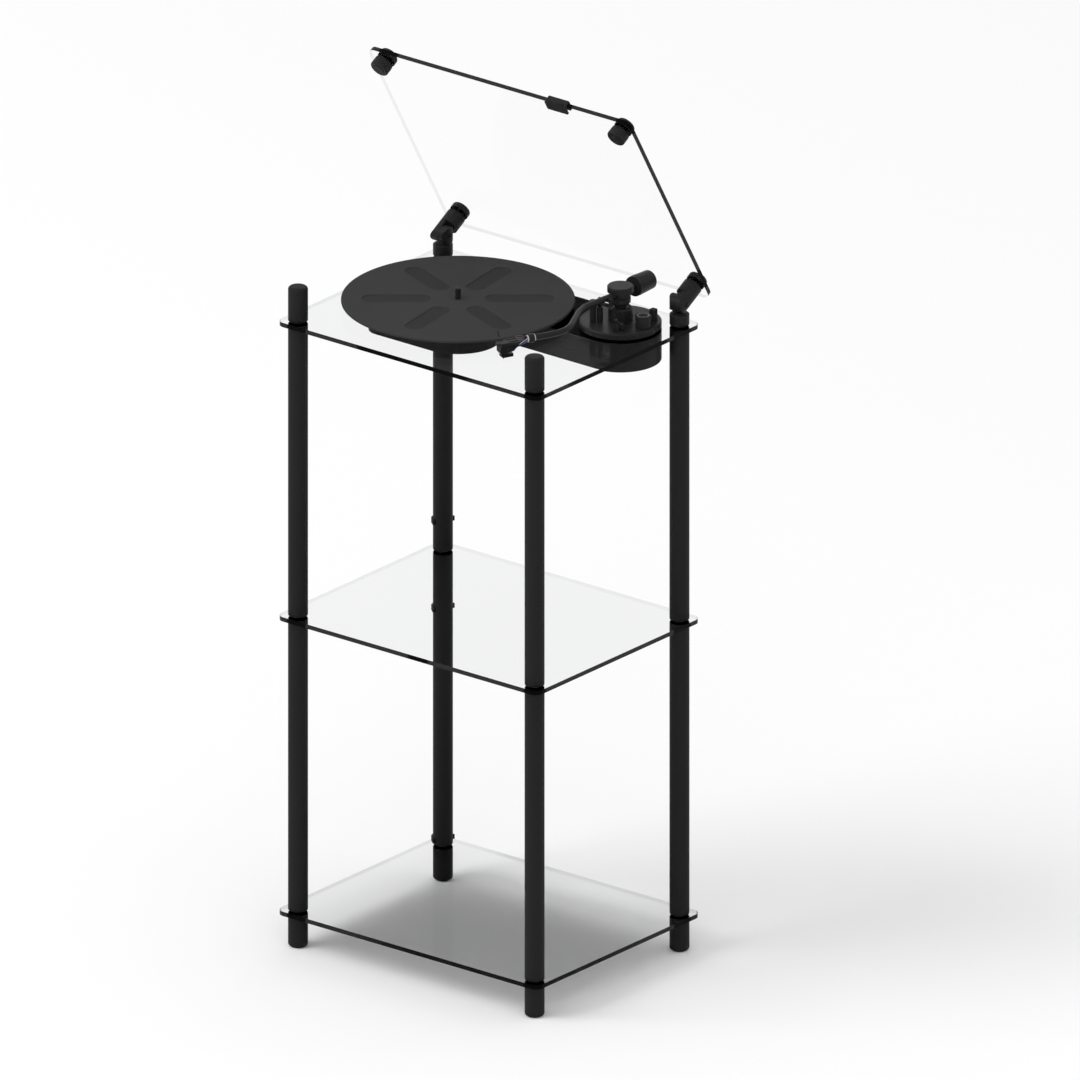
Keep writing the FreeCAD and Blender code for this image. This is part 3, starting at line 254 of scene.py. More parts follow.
@dataclass(frozen=True)
class GlassFinish:
    """Clear flat glass with a faint tint, or its ground edge, which is painted near black from outside
    as painted shade for the dark look of light lost inside the edge.

    The shade is the colour that diffuse rays meet, which sets how dark the glass's shadow is.
    """

    name: str
    colour: Colour
    outer: Optional[Colour] = None
    shade: Colour = (0.075, 0.075, 0.075)
    ior: float = 1.04
    waviness: float = 0.012
    wave_scale: float = 2.5

    def material(self) -> bpy.types.Material:
        """Make the glass's material, the first time that it is asked for.

        Returns:
            The material.
        """
        name = FINISH_PREFIX + self.name
        known = bpy.data.materials.get(name)
        if known:
            return known
        made = bpy.data.materials.new(name)
        made.use_nodes = True
        graph = Graph(made.node_tree)
        shader = made.node_tree.nodes["Principled BSDF"]
        shader.inputs["Metallic"].default_value = 0.0
        shader.inputs["IOR"].default_value = self.ior
        shader.inputs["Transmission Weight"].default_value = 1.0
        place = graph.add("TexCoord")
        clouds = graph.add("TexNoise")
        clouds.inputs["Scale"].default_value = self.wave_scale
        graph.link(place.outputs["Object"], clouds.inputs["Vector"])
        spread = graph.add("MapRange")
        spread.inputs["To Min"].default_value = 0.0
        spread.inputs["To Max"].default_value = self.waviness
        graph.link(clouds.outputs["Fac"], spread.inputs["Value"])
        graph.link(spread.outputs["Result"], shader.inputs["Roughness"])
        # Front faces take the outer colour; on the edge this near black is painted shade.
        seen = graph.add("MixRGB")
        seen.inputs["Color1"].default_value = (*(self.outer or self.colour), 1.0)
        seen.inputs["Color2"].default_value = (*self.colour, 1.0)
        graph.link(graph.add("NewGeometry").outputs["Backfacing"], seen.inputs["Fac"])
        tint = graph.add("MixRGB")
        tint.inputs["Color2"].default_value = (*self.shade, 1.0)
        graph.link(seen.outputs["Color"], tint.inputs["Color1"])
        graph.link(graph.add("LightPath").outputs["Is Diffuse Ray"], tint.inputs["Fac"])
        graph.link(tint.outputs["Color"], shader.inputs["Base Color"])
        return made


class Finishes(Enum):
    """Every finish of the object, named for where it is used."""

    POST_COAT = Finish("post_coat", (0.0148, 0.0148, 0.015), roughness=0.5, specular=0.05)
    HINGE_COAT = Finish("hinge_coat", (0.0145, 0.0145, 0.0147), roughness=0.45, specular=0.08)
    PLINTH_COAT = Finish("plinth_coat", (0.0165, 0.0165, 0.0168), roughness=0.45, specular=0.06)
    ARM_COAT = Finish("arm_coat", (0.0140, 0.0140, 0.0143), roughness=0.4, specular=0.1)
    PLASTIC = Finish("moulded_plastic", (0.013, 0.013, 0.0135), roughness=0.55, specular=0.1,
                     grain_scale=1500.0)
    RUBBER = Finish("washer_rubber", (0.003, 0.003, 0.003), roughness=0.8, specular=0.05)
    MAT = Finish("mat_rubber", (0.042, 0.042, 0.0425), roughness=0.8, specular=0.02,
                 grain_scale=2200.0)
    # The slot floors' darker tone is painted shade, for the shade that falls in the recesses of the
    # mat.
    MAT_SLOT = Finish("mat_slot_painted_shade", (0.033, 0.033, 0.0335), roughness=0.85, specular=0.02,
                      grain_scale=2200.0)
    STEEL = Finish("turned_steel", (0.45, 0.45, 0.46), roughness=0.3, metallic=1.0)
    BRIGHT = Finish("bright_ring", (0.36, 0.36, 0.37), roughness=0.2, metallic=1.0, tone_spread=0.05,
                    slot="chrome_trim")
    PALE = Finish("pale_ring_paint", (0.15, 0.15, 0.15), roughness=0.45, slot="chrome_trim")
    GOLD = Finish("gilt_contact", (0.75, 0.55, 0.22), roughness=0.22, metallic=1.0,
                  tone_spread=0.1)
    COPPER = Finish("copper_wire", (0.55, 0.26, 0.08), roughness=0.3, metallic=1.0)
    BOARD = Finish("circuit_board", (0.02, 0.09, 0.04), roughness=0.45)
    FERRITE = Finish("magnet_ferrite", (0.05, 0.05, 0.052), roughness=0.6)
    CARTRIDGE = Finish("cartridge_shell", (0.005, 0.005, 0.006), roughness=0.3, specular=0.1)
    STYLUS = Finish("stylus_holder", (0.006, 0.006, 0.009), roughness=0.3, specular=0.1)
    LEAD_WHITE = Finish("white_lead", (0.32, 0.32, 0.38), roughness=0.4)
    LEAD_BLUE = Finish("blue_lead", (0.03, 0.035, 0.17), roughness=0.4)
    LEAD_RED = Finish("red_lead", (0.10, 0.025, 0.015), roughness=0.4)
    LEAD_GREEN = Finish("green_lead", (0.015, 0.06, 0.02), roughness=0.4)
    DIAL_MARK = Finish("dial_marking", (0.16, 0.16, 0.16), roughness=0.5, slot="aluminium")
    SOCKET_RED = Finish("red_insulator", (0.35, 0.02, 0.02), roughness=0.4)
    SOCKET_WHITE = Finish("white_insulator", (0.6, 0.6, 0.6), roughness=0.4)
    GLASS = GlassFinish("shelf_glass", (0.90, 0.905, 0.904))
    LID_GLASS = GlassFinish("lid_glass", (0.996, 0.997, 0.997), shade=(0.5, 0.5, 0.5), ior=1.06)
    # The edge is near black from outside: painted shade for the dark look that light turning inside the
    # glass gives.
    GLASS_EDGE = GlassFinish("glass_edge_painted_shade", (0.80, 0.81, 0.81), outer=(0.001, 0.001, 0.001),
                             ior=1.11, waviness=0.3)

    def material(self) -> bpy.types.Material:
        """Return the finish's material."""
        return self.value.material()


# Meshes
def new_piece(name: str, mesh: bmesh.types.BMesh, finish: Finishes, body: Body,
              nodes: Sequence[str] = ()) -> bpy.types.Object:
    """Turn a bmesh into a finished piece that rides on a body.

    Args:
        name: The piece's name.
        mesh: The shape, in the frame's place. It is freed.
        finish: The surface of the piece.
        body: The body that it rides on.
        nodes: Frame nodes that it stands for, which are hidden.

    Returns:
        The new object.
    """
    for face in mesh.faces:
        face.smooth = True
    for edge in mesh.edges:
        edge.smooth = len(edge.link_faces) == 2 and edge.calc_face_angle(0.0) < SHARP_EDGE
    data = bpy.data.meshes.new(name)
    mesh.to_mesh(data)
    mesh.free()
    data.materials.append(finish.material())
    made = bpy.data.objects.new(name, data)
    bpy.context.scene.collection.objects.link(made)
    if nodes:
        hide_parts(*nodes)
    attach(made, body.value)
    return made


def round_edges(piece: bpy.types.Object, width: float) -> bpy.types.Modifier:
    """Give a piece's sharp edges a small round.

    Args:
        piece: The piece.
        width: The round's width in metres.

    Returns:
        The modifier that rounds the edges.
    """
    bevel = piece.modifiers.new("edge_round", "BEVEL")
    bevel.width = width
    bevel.segments = ROUND_SEGMENTS
    bevel.limit_method = "ANGLE"
    bevel.angle_limit = SHARP_EDGE
    bevel.miter_outer = "MITER_ARC"
    bevel.harden_normals = True
    return bevel


def node_mesh(node: str) -> bmesh.types.BMesh:
    """Copy a frame node's mesh, merged and with its flat triangles joined.

    Args:
        node: The frame node's name.

    Returns:
        The mesh, free for use.
    """
    mesh = bmesh.new()
    mesh.from_mesh(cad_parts[node].data)
    bmesh.ops.remove_doubles(mesh, verts=mesh.verts, dist=SAME_PLACE)
    bmesh.ops.dissolve_limit(mesh, angle_limit=SAME_PLANE, verts=mesh.verts, edges=mesh.edges,
                             delimit={"NORMAL"})
    return mesh


def finished_node(node: str, mesh: bmesh.types.BMesh, finish: Finishes, body: Body) -> bpy.types.Object:
    """Make a piece from a mesh that replaces one frame node."""
    return new_piece(node + "_finished", mesh, finish, body, (node,))


def middle_of(node: str) -> Vector:
    """Return the middle of a frame node's box."""
    low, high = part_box(node)
    return (low + high) / 2


def post_radius() -> float:
    """Return the posts' radius, from the two short bars above the front of the top shelf."""
    low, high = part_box("front_post_tops")
    return (high.y - low.y) / 2


def smoothed(node: str, finish: Finishes, body: Body, edge: float = 0.0) -> bpy.types.Object:
    """Replace a frame node with a smooth-shaded copy whose edges are rounded.

    Args:
        node: The frame node.
        finish: The surface of the piece.
        body: The body that it rides on.
        edge: The width of the edge round, or zero for none.

    Returns:
        The new piece.
    """
    piece = finished_node(node, node_mesh(node), finish, body)
    if edge:
        round_edges(piece, edge)
    return piece


def separate_parts(mesh: bmesh.types.BMesh) -> List[List[bmesh.types.BMVert]]:
    """Sort a mesh's corners by the solid that they belong to.

    Args:
        mesh: A mesh of one or more separate solids.

    Returns:
        One list of corners for each solid.
    """
    left = set(mesh.verts)
    parts = []
    while left:
        front = [left.pop()]
        part = list(front)
        while front:
            spread = {edge.other_vert(vert) for vert in front for edge in vert.link_edges} & left
            left -= spread
            front = list(spread)
            part += front
        parts.append(part)
    return parts


def widened_washers(node: str, body: Body) -> bpy.types.Object:
    """Replace a node of thin washers with washers that are nearly as wide as the posts.

    Args:
        node: The frame node, whose washers may face any way.
        body: The body that they ride on.

    Returns:
        The new piece.
    """
    radius = post_radius() - WASHER_INSET
    mesh = node_mesh(node)
    mesh.normal_update()
    for part in separate_parts(mesh):
        middle = sum((vert.co for vert in part), Vector()) / len(part)
        faces = (face for vert in part for face in vert.link_faces)
        flat = max(faces, key=lambda face: face.calc_area())
        axis = flat.normal.copy()
        arms = {vert: (vert.co - middle) - axis * (vert.co - middle).dot(axis) for vert in part}
        outer = max(arm.length for arm in arms.values())
        for vert, arm in arms.items():
            if arm.length > outer * WASHER_RIM_SHARE:
                vert.co += arm * (radius / outer - 1.0)
    return finished_node(node, mesh, Finishes.POST_COAT, body)


def dress_node(node: str, finish: Finishes) -> None:
    """Give a frame node that stays as it is its finish.

    Args:
        node: The frame node's name.
        finish: The surface of the whole node.
    """
    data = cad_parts[node].data
    data.materials.clear()
    data.materials.append(finish.material())


def paint_faces(piece: bpy.types.Object, finish: Finishes,
                test: Callable[[bpy.types.MeshPolygon], bool]) -> int:
    """Give some faces of a piece another finish.

    Args:
        piece: The piece.
        finish: The other finish.
        test: Tells whether a face gets it.

    Returns:
        The index of the other finish's material on the piece.
    """
    piece.data.materials.append(finish.material())
    index = len(piece.data.materials) - 1
    for face in piece.data.polygons:
        if test(face):
            face.material_index = index
    return index


def turned(profile: Sequence[Tuple[float, float]], centre: Vector, axis: Vector, closed: bool = True,
           steps: int = TURNED_STEPS) -> bmesh.types.BMesh:
    """Return a turned shape.

    Args:
        profile: Corners of the section in order, each as a radius and a height.
        centre: The place on the axis where the height is zero.
        axis: The direction in which the height runs.
        closed: Whether the last corner joins the first. It doesn't where both are on the axis.
        steps: How many facets go round.

    Returns:
        The shape, in its place.
    """
    mesh = bmesh.new()
    corners = [mesh.verts.new((radius, 0.0, height)) for radius, height in profile]
    ends = corners[1:] + corners[:1] if closed else corners[1:]
    sides = [mesh.edges.new(pair) for pair in zip(corners, ends)]
    bmesh.ops.spin(mesh, geom=corners + sides, cent=(0.0, 0.0, 0.0), axis=UP, angle=math.tau,
                   steps=steps, use_merge=True)
    bmesh.ops.remove_doubles(mesh, verts=mesh.verts, dist=SAME_PLACE)
    bmesh.ops.recalc_face_normals(mesh, faces=mesh.faces)
    turn = axis.to_track_quat("Z", "Y").to_matrix().to_4x4()
    bmesh.ops.transform(mesh, matrix=Matrix.Translation(centre) @ turn, verts=mesh.verts)
    return mesh


def band(inner: float, outer: float, width: float, centre: Vector, axis: Vector) -> bmesh.types.BMesh:
    """Return a ring with rounded edges.

    Args:
        inner: The bore's radius.
        outer: The ring's outer radius.
        width: The ring's width along its axis.
        centre: The middle of the ring.
        axis: The direction of its axis.

    Returns:
        The shape, in its place.
    """
    half = width / 2
    mesh = turned(((inner, -half), (outer, -half), (outer, half), (inner, half)), centre, axis)
    rims = [edge for edge in mesh.edges if edge.calc_face_angle(0.0) > BAND_CORNER]
    bmesh.ops.bevel(mesh, geom=rims, offset=BAND_ROUND, segments=ROUND_SEGMENTS, profile=0.5,
                    affect="EDGES", material=-1)
    return mesh


def button_top(radius: float, height: float, centre: Vector, axis: Vector) -> bmesh.types.BMesh:
    """Make a low domed disc that stands on a place.

    Args:
        radius: The disc's radius in metres.
        height: The height of its middle in metres.
        centre: The middle of its flat side.
        axis: The direction in which it rises.

    Returns:
        The mesh of the disc.
    """
    outline = ((0.0, 0.0), (1.0, 0.0), (1.0, 0.5), (0.7, 0.9), (0.0, 1.0))
    profile = [(radius * across, height * above) for across, above in outline]
    return turned(profile, centre, axis, closed=False, steps=BUTTON_STEPS)


def dimple(mesh: bmesh.types.BMesh, axis: Vector, rim: float, depth: float) -> None:
    """Sink the middle of each end face that looks along an axis, either way.

    Args:
        mesh: The shape to change.
        axis: The direction of the end faces.
        rim: How much of each face stays as its rim.
        depth: How deep the middle is sunk.
    """
    ends = [face for face in mesh.faces if abs(face.normal.dot(axis)) > FLAT_ALONG]
    largest = max(face.calc_area() for face in ends)
    ends = [face for face in ends if face.calc_area() > largest * END_FACE_SHARE]
    bmesh.ops.inset_individual(mesh, faces=ends, thickness=rim, depth=0.0)
    for face in ends:
        inward = -face.normal.copy()
        wall = bmesh.ops.extrude_discrete_faces(mesh, faces=[face])["faces"]
        bmesh.ops.translate(mesh, verts=list(wall[0].verts), vec=inward * depth)


def lead(name: str, points: Sequence[Vector], radius: float, finish: Finishes,
         body: Body) -> bpy.types.Object:
    """Make a thin bent wire on a smooth line near some points.

    Args:
        name: The piece's name.
        points: The control points of the line, from end to end.
        radius: The wire's radius in metres.
        finish: The surface of the wire.
        body: The body that it rides on.

    Returns:
        The new object.
    """
    data = bpy.data.curves.new(name, "CURVE")
    data.dimensions = "3D"
    data.bevel_depth = radius
    data.bevel_resolution = WIRE_ROUND
    data.resolution_u = WIRE_STEPS
    data.use_fill_caps = True
    line = data.splines.new("NURBS")
    line.points.add(len(points) - 1)
    for spot, point in zip(line.points, points):
        spot.co = (*point, 1.0)
    line.order_u = 3
    line.use_endpoint_u = True
    data.materials.append(finish.material())
    made = bpy.data.objects.new(name, data)
    bpy.context.scene.collection.objects.link(made)
    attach(made, body.value)
    return made


def number_mesh(digits: str, height: float, thickness: float) -> bpy.types.Mesh:
    """Make a short number as a thin mesh about the origin, facing up.

    Args:
        digits: The number's digits.
        height: The size of the figures in metres.
        thickness: How thick the figures are in metres.

    Returns:
        The mesh of the number.
    """
    curve = bpy.data.curves.new("number_" + digits, "FONT")
    curve.body = digits
    curve.size = height
    curve.extrude = thickness / 2
    curve.align_x = "CENTER"
    curve.align_y = "CENTER"
    letter = bpy.data.objects.new("number_" + digits, curve)
    mesh = bpy.data.meshes.new_from_object(letter)
    bpy.data.objects.remove(letter)
    bpy.data.curves.remove(curve)
    return mesh


# Sub-assemblies
@dataclass
class Posts:
    """The four posts, their feet and washers, and the cable clips."""

    clip_edge: float = 0.3 * MM

    def build(self) -> None:
        """Make all pieces of the posts."""
        for node in ("post_feet", "lower_posts", "upper_posts", "front_post_tops"):
            smoothed(node, Finishes.POST_COAT, Body.STAND)
        widened_washers("shelf_washers", Body.STAND)
        smoothed("foot_pads", Finishes.RUBBER, Body.STAND)
        smoothed("cable_clips", Finishes.PLASTIC, Body.STAND, self.clip_edge)
        dress_node("post_studs", Finishes.STEEL)


@dataclass
class Glazing:
    """The three shelves and the lid glass, with their ground edges painted dark as shade."""

    edge: float = 0.4 * MM
    side_limit: float = 0.7

    def sheet(self, node: str, finish: Finishes, body: Body) -> None:
        """Make one sheet, with its narrow sides in a near-black finish of painted shade for a glass
        edge.

        Args:
            node: The frame node that the sheet stands for.
            finish: The glass of its two faces.
            body: The body that it rides on.
        """
        made = smoothed(node, finish, body)
        facing = max(made.data.polygons, key=lambda face: face.area).normal.copy()
        # The narrow sides and their round are painted near black from outside as painted shade.
        index = paint_faces(made, Finishes.GLASS_EDGE,
                            lambda face: abs(face.normal.dot(facing)) < self.side_limit)
        round_edges(made, self.edge).material = index

    def build(self) -> None:
        """Make the four sheets of glass."""
        for node in ("bottom_shelf", "middle_shelf", "top_shelf"):
            self.sheet(node, Finishes.GLASS, Body.STAND)
        self.sheet("lid_glass", Finishes.LID_GLASS, Body.LID)


@dataclass
class LidHardware:
    """The hinges, caps, knobs and finger grip of the lid."""

    edge: float = 0.4 * MM
    socket_rim: float = 1.1 * MM
    socket_depth: float = 1.4 * MM

    def bolts(self) -> None:
        """Make the hinge bolts with a socket in each end."""
        mesh = node_mesh("hinge_bolts")
        dimple(mesh, RIGHT, self.socket_rim, self.socket_depth)
        finished_node("hinge_bolts", mesh, Finishes.HINGE_COAT, Body.STAND)

    def build(self) -> None:
        """Make all pieces of the lid but its glass."""
        smoothed("hinge_bases", Finishes.HINGE_COAT, Body.STAND, self.edge)
        self.bolts()
        smoothed("hinge_arms", Finishes.HINGE_COAT, Body.LID, self.edge)
        smoothed("lid_caps", Finishes.HINGE_COAT, Body.LID)
        smoothed("lid_knobs", Finishes.HINGE_COAT, Body.LID)
        smoothed("lid_grip", Finishes.PLASTIC, Body.LID, self.edge)
        widened_washers("lid_washers", Body.LID)
        smoothed("lid_buffers", Finishes.PLASTIC, Body.LID)
        dress_node("lid_studs", Finishes.STEEL)


@dataclass
class Plinth:
    """The plinth under the top shelf, with its drive and sockets."""

    edge: float = 0.8 * MM
    stator_plate: float = 3.05 * MM
    flange_radius: float = 6.0 * MM
    ring_inner: float = 1.75 * MM
    ring_outer: float = 3.3 * MM
    ring_depth: float = 0.5 * MM
    screw_rim: float = 1.3 * MM
    screw_depth: float = 0.9 * MM

    def drive(self) -> None:
        """Dress the motor and its bearing, which show when the plinth is opened."""
        coils = smoothed("motor_coils", Finishes.COPPER, Body.STAND)
        plate_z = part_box("motor_coils")[1].z - self.stator_plate
        paint_faces(coils, Finishes.BOARD, lambda face: face.center.z > plate_z)
        for node in ("bearing_sleeve", "clamp_nuts", "motor_rotor"):
            dress_node(node, Finishes.STEEL)
        dress_node("thrust_pad", Finishes.PLASTIC)
        dress_node("control_board", Finishes.BOARD)
        dress_node("rotor_magnet", Finishes.FERRITE)

    def sockets(self) -> None:
        """Make the sockets in the back wall, with a red and a white ring in their ends."""
        smoothed("power_inlet", Finishes.PLASTIC, Body.STAND)
        smoothed("signal_sockets", Finishes.GOLD, Body.STAND)
        low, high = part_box("signal_sockets")
        height = (low.z + high.z) / 2
        places = (
            (low.x + self.flange_radius, Finishes.SOCKET_RED),
            (high.x - self.flange_radius, Finishes.SOCKET_WHITE),
        )
        for place_x, finish in places:
            place = Vector((place_x, high.y, height))
            ring = band(self.ring_inner, self.ring_outer, self.ring_depth, place, BACK)
            new_piece(finish.value.name + "_ring", ring, finish, Body.STAND)

    def build(self) -> None:
        """Make all pieces of the plinth."""
        smoothed("plinth_shell", Finishes.PLINTH_COAT, Body.STAND, self.edge)
        smoothed("plinth_cover", Finishes.PLINTH_COAT, Body.STAND)
        screws = node_mesh("cover_screws")
        dimple(screws, UP, self.screw_rim, self.screw_depth)
        finished_node("cover_screws", screws, Finishes.STEEL, Body.STAND)
        self.drive()
        self.sockets()


@dataclass
class Platter:
    """The platter and its slotted mat."""

    mat_edge: float = 0.35 * MM
    floor_below: float = 0.5 * MM
    floor_facing: float = 0.9

    def build(self) -> None:
        """Make the platter, the mat and the record pin."""
        smoothed("platter", Finishes.PLINTH_COAT, Body.TURNTABLE)
        mat = smoothed("platter_mat", Finishes.MAT, Body.TURNTABLE)
        low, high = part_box("platter_mat")
        lowest = low.z + self.floor_below
        highest = high.z - self.floor_below
        # The slot floors get a darker finish: painted shade for the recesses.
        paint_faces(mat, Finishes.MAT_SLOT,
                    lambda face: lowest < face.center.z < highest and face.normal.z > self.floor_facing)
        round_edges(mat, self.mat_edge)
        smoothed("spindle_shaft", Finishes.ARM_COAT, Body.TURNTABLE)


@dataclass
class Tonearm:
    """The tonearm with its base, controls, counterweight and cartridge."""

    edge: float = 0.35 * MM
    stand_nodes: Tuple[str, ...] = ("tonearm_base", "tonearm_pillar", "lift_post", "cue_bearing")
    arm_nodes: Tuple[str, ...] = ("pivot_cap", "arm_stub", "arm_tube", "headshell")
    collar_len: float = 13.0 * MM
    collar_bore: float = 3.5 * MM
    collar_waist: float = 4.6 * MM
    collar_grip: Tuple[float, float] = (-3.4 * MM, 2.8 * MM)
    collar_band: float = 4.75 * MM
    collar_bands: Tuple[Tuple[float, float], ...] = ((-4.9 * MM, 1.3 * MM), (4.7 * MM, 3.0 * MM))
    lead_radius: float = 0.55 * MM
    upper_lead: Tuple[Place, ...] = (
        (6.0, 3.0, 1.6), (10.0, 8.4, 2.2), (16.0, 10.8, 1.4), (19.5, 8.6, -2.2), (20.5, 4.5, -4.2))
    lower_lead: Tuple[Place, ...] = (
        (6.0, 3.4, -0.4), (10.0, 9.0, -0.2), (16.5, 11.4, -1.2), (19.8, 9.0, -4.4), (20.5, 4.8, -6.4))
    cartridge_taper: float = 0.3
    lift_growth: float = 0.45 * MM
    tick_count: int = 24
    ticks_per_number: int = 3
    tick_size: Place = (0.3 * MM, 1.5 * MM, 0.16 * MM)
    number_height: float = 2.4 * MM
    dot_radius: float = 1.5 * MM
    dot_height: float = 0.25 * MM
    skate_ring_inner: float = 6.6 * MM
    skate_ring_outer: float = 7.7 * MM
    skate_ring_t: float = 0.5 * MM
    skate_ring_sunk: float = 0.3 * MM
    weight_rim: float = 3.2 * MM
    weight_dish: float = 0.8 * MM

    def shell_way(self) -> Vector:
        """Find the level direction from the locking collar to the headshell.

        Returns:
            The direction, one long.
        """
        way = middle_of("headshell") - middle_of("locking_collar")
        way.z = 0.0
        return way.normalized()

    def collar(self) -> None:
        """Make the dark locking collar with a wider grip, and its two bright bands."""
        low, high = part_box("locking_collar")
        grip = (high.z - low.z) / 2
        half = self.collar_len / 2
        way = self.shell_way()
        centre = middle_of("locking_collar")
        start, stop = self.collar_grip
        bore, waist = self.collar_bore, self.collar_waist
        profile = (
            (bore, -half), (waist, -half), (waist, start), (grip, start),
            (grip, stop), (waist, stop), (waist, half), (bore, half))
        mesh = turned(profile, centre, way)
        finished_node("locking_collar", mesh, Finishes.ARM_COAT, Body.LOCK)
        for number, (place, width) in enumerate(self.collar_bands, start=1):
            ring = band(self.collar_bore, self.collar_band, width, centre + way * place, way)
            new_piece(f"collar_band_{number}", ring, Finishes.BRIGHT, Body.LOCK)

    def leads(self) -> None:
        """Make the four thin leads from the collar to the back of the cartridge."""
        way = self.shell_way()
        across = Vector((-way.y, way.x, 0.0))
        start = middle_of("locking_collar")
        plan = (
            ("lead_white", self.upper_lead, 1.0, Finishes.LEAD_WHITE),
            ("lead_blue", self.lower_lead, 1.0, Finishes.LEAD_BLUE),
            ("lead_red", self.upper_lead, -1.0, Finishes.LEAD_RED),
            ("lead_green", self.lower_lead, -1.0, Finishes.LEAD_GREEN),
        )
        for name, route, side, finish in plan:
            points = [
                start + way * (ahead * MM) + across * (aside * side * MM) + UP * (above * MM)
                for ahead, aside, above in route]
            lead(name, points, self.lead_radius, finish, Body.TONEARM)

    def pickup(self) -> None:
        """Make the cartridge, whose lower part is narrower and shorter, and the stylus."""
        mesh = node_mesh("cartridge")
        centre = middle_of("cartridge")
        way = self.shell_way()
        across = Vector((-way.y, way.x, 0.0))
        front = centre + way * (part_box("cartridge")[1].y - centre.y)
        for vert in mesh.verts:
            if vert.co.z < centre.z:
                vert.co -= across * ((vert.co - centre).dot(across) * self.cartridge_taper)
                vert.co -= way * ((vert.co - front).dot(way) * self.cartridge_taper)
        round_edges(finished_node("cartridge", mesh, Finishes.CARTRIDGE, Body.TONEARM), self.edge)
        smoothed("stylus", Finishes.STYLUS, Body.TONEARM, self.edge)

    def finger(self) -> None:
        """Make the finger lift, a little thicker than its bare wire."""
        mesh = node_mesh("finger_lift")
        mesh.normal_update()
        for vert in mesh.verts:
            vert.co += vert.normal * self.lift_growth
        finished_node("finger_lift", mesh, Finishes.ARM_COAT, Body.TONEARM)

    def dial_marks(self) -> None:
        """Make the ticks and numbers round the force ring."""
        low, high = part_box("force_ring")
        centre = Matrix.Translation((low + high) / 2)
        radius = (high.z - low.z) / 2
        _, tick_len, tick_t = self.tick_size
        size = Matrix.Diagonal((*self.tick_size, 1.0))
        marks = bmesh.new()
        for number in range(self.tick_count):
            turn = Matrix.Rotation(math.tau * number / self.tick_count, 4, "Y")
            place = Matrix.Translation((0.0, (high.y - low.y) / 2 - tick_len / 2, radius))
            bmesh.ops.create_cube(marks, size=1.0, matrix=centre @ turn @ place @ size)
        for number in range(self.tick_count // self.ticks_per_number):
            letter = number_mesh(str(number), self.number_height, tick_t)
            turn = Matrix.Rotation(math.tau * self.ticks_per_number * number / self.tick_count, 4, "Y")
            place = Matrix.Translation((0.0, -tick_len / 2, radius))
            letter.transform(centre @ turn @ place)
            marks.from_mesh(letter)
            bpy.data.meshes.remove(letter)
        new_piece("force_ring_marks", marks, Finishes.DIAL_MARK, Body.FORCE)

    def controls(self) -> None:
        """Make the anti-skate knob's pale ring and the start button's dot."""
        smoothed("skate_knob", Finishes.ARM_COAT, Body.SKATE, self.edge)
        place = middle_of("skate_knob")
        place.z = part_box("skate_knob")[1].z - self.skate_ring_sunk
        ring = band(self.skate_ring_inner, self.skate_ring_outer, self.skate_ring_t, place, UP)
        new_piece("skate_knob_ring", ring, Finishes.PALE, Body.SKATE)
        smoothed("start_button", Finishes.PLASTIC, Body.BUTTON)
        place = middle_of("start_button")
        place.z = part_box("start_button")[1].z
        dot = button_top(self.dot_radius, self.dot_height, place, UP)
        new_piece("start_button_dot", dot, Finishes.BRIGHT, Body.BUTTON)

    def weight(self) -> None:
        """Make the counterweight with a dished back, and the force ring in front of it."""
        mesh = node_mesh("counterweight")
        dimple(mesh, BACK, self.weight_rim, self.weight_dish)
        finished_node("counterweight", mesh, Finishes.ARM_COAT, Body.WEIGHT)
        smoothed("force_ring", Finishes.ARM_COAT, Body.FORCE, self.edge)

    def build(self) -> None:
        """Make all pieces of the tonearm."""
        for node in self.stand_nodes:
            smoothed(node, Finishes.ARM_COAT, Body.STAND, self.edge)
        for node in ("arm_rest", "skate_block"):
            smoothed(node, Finishes.PLASTIC, Body.STAND, self.edge)
        smoothed("arm_yoke", Finishes.ARM_COAT, Body.SWIVEL, self.edge)
        smoothed("yoke_shaft", Finishes.ARM_COAT, Body.SWIVEL)
        for node in self.arm_nodes:
            smoothed(node, Finishes.ARM_COAT, Body.TONEARM)
        dress_node("pivot_pin", Finishes.STEEL)
        smoothed("cue_lever", Finishes.ARM_COAT, Body.CUE)
        smoothed("lift_bar", Finishes.RUBBER, Body.CUE_LIFT, self.edge)
        self.collar()
        self.leads()
        self.pickup()
        self.finger()
        self.dial_marks()
        self.controls()
        self.weight()


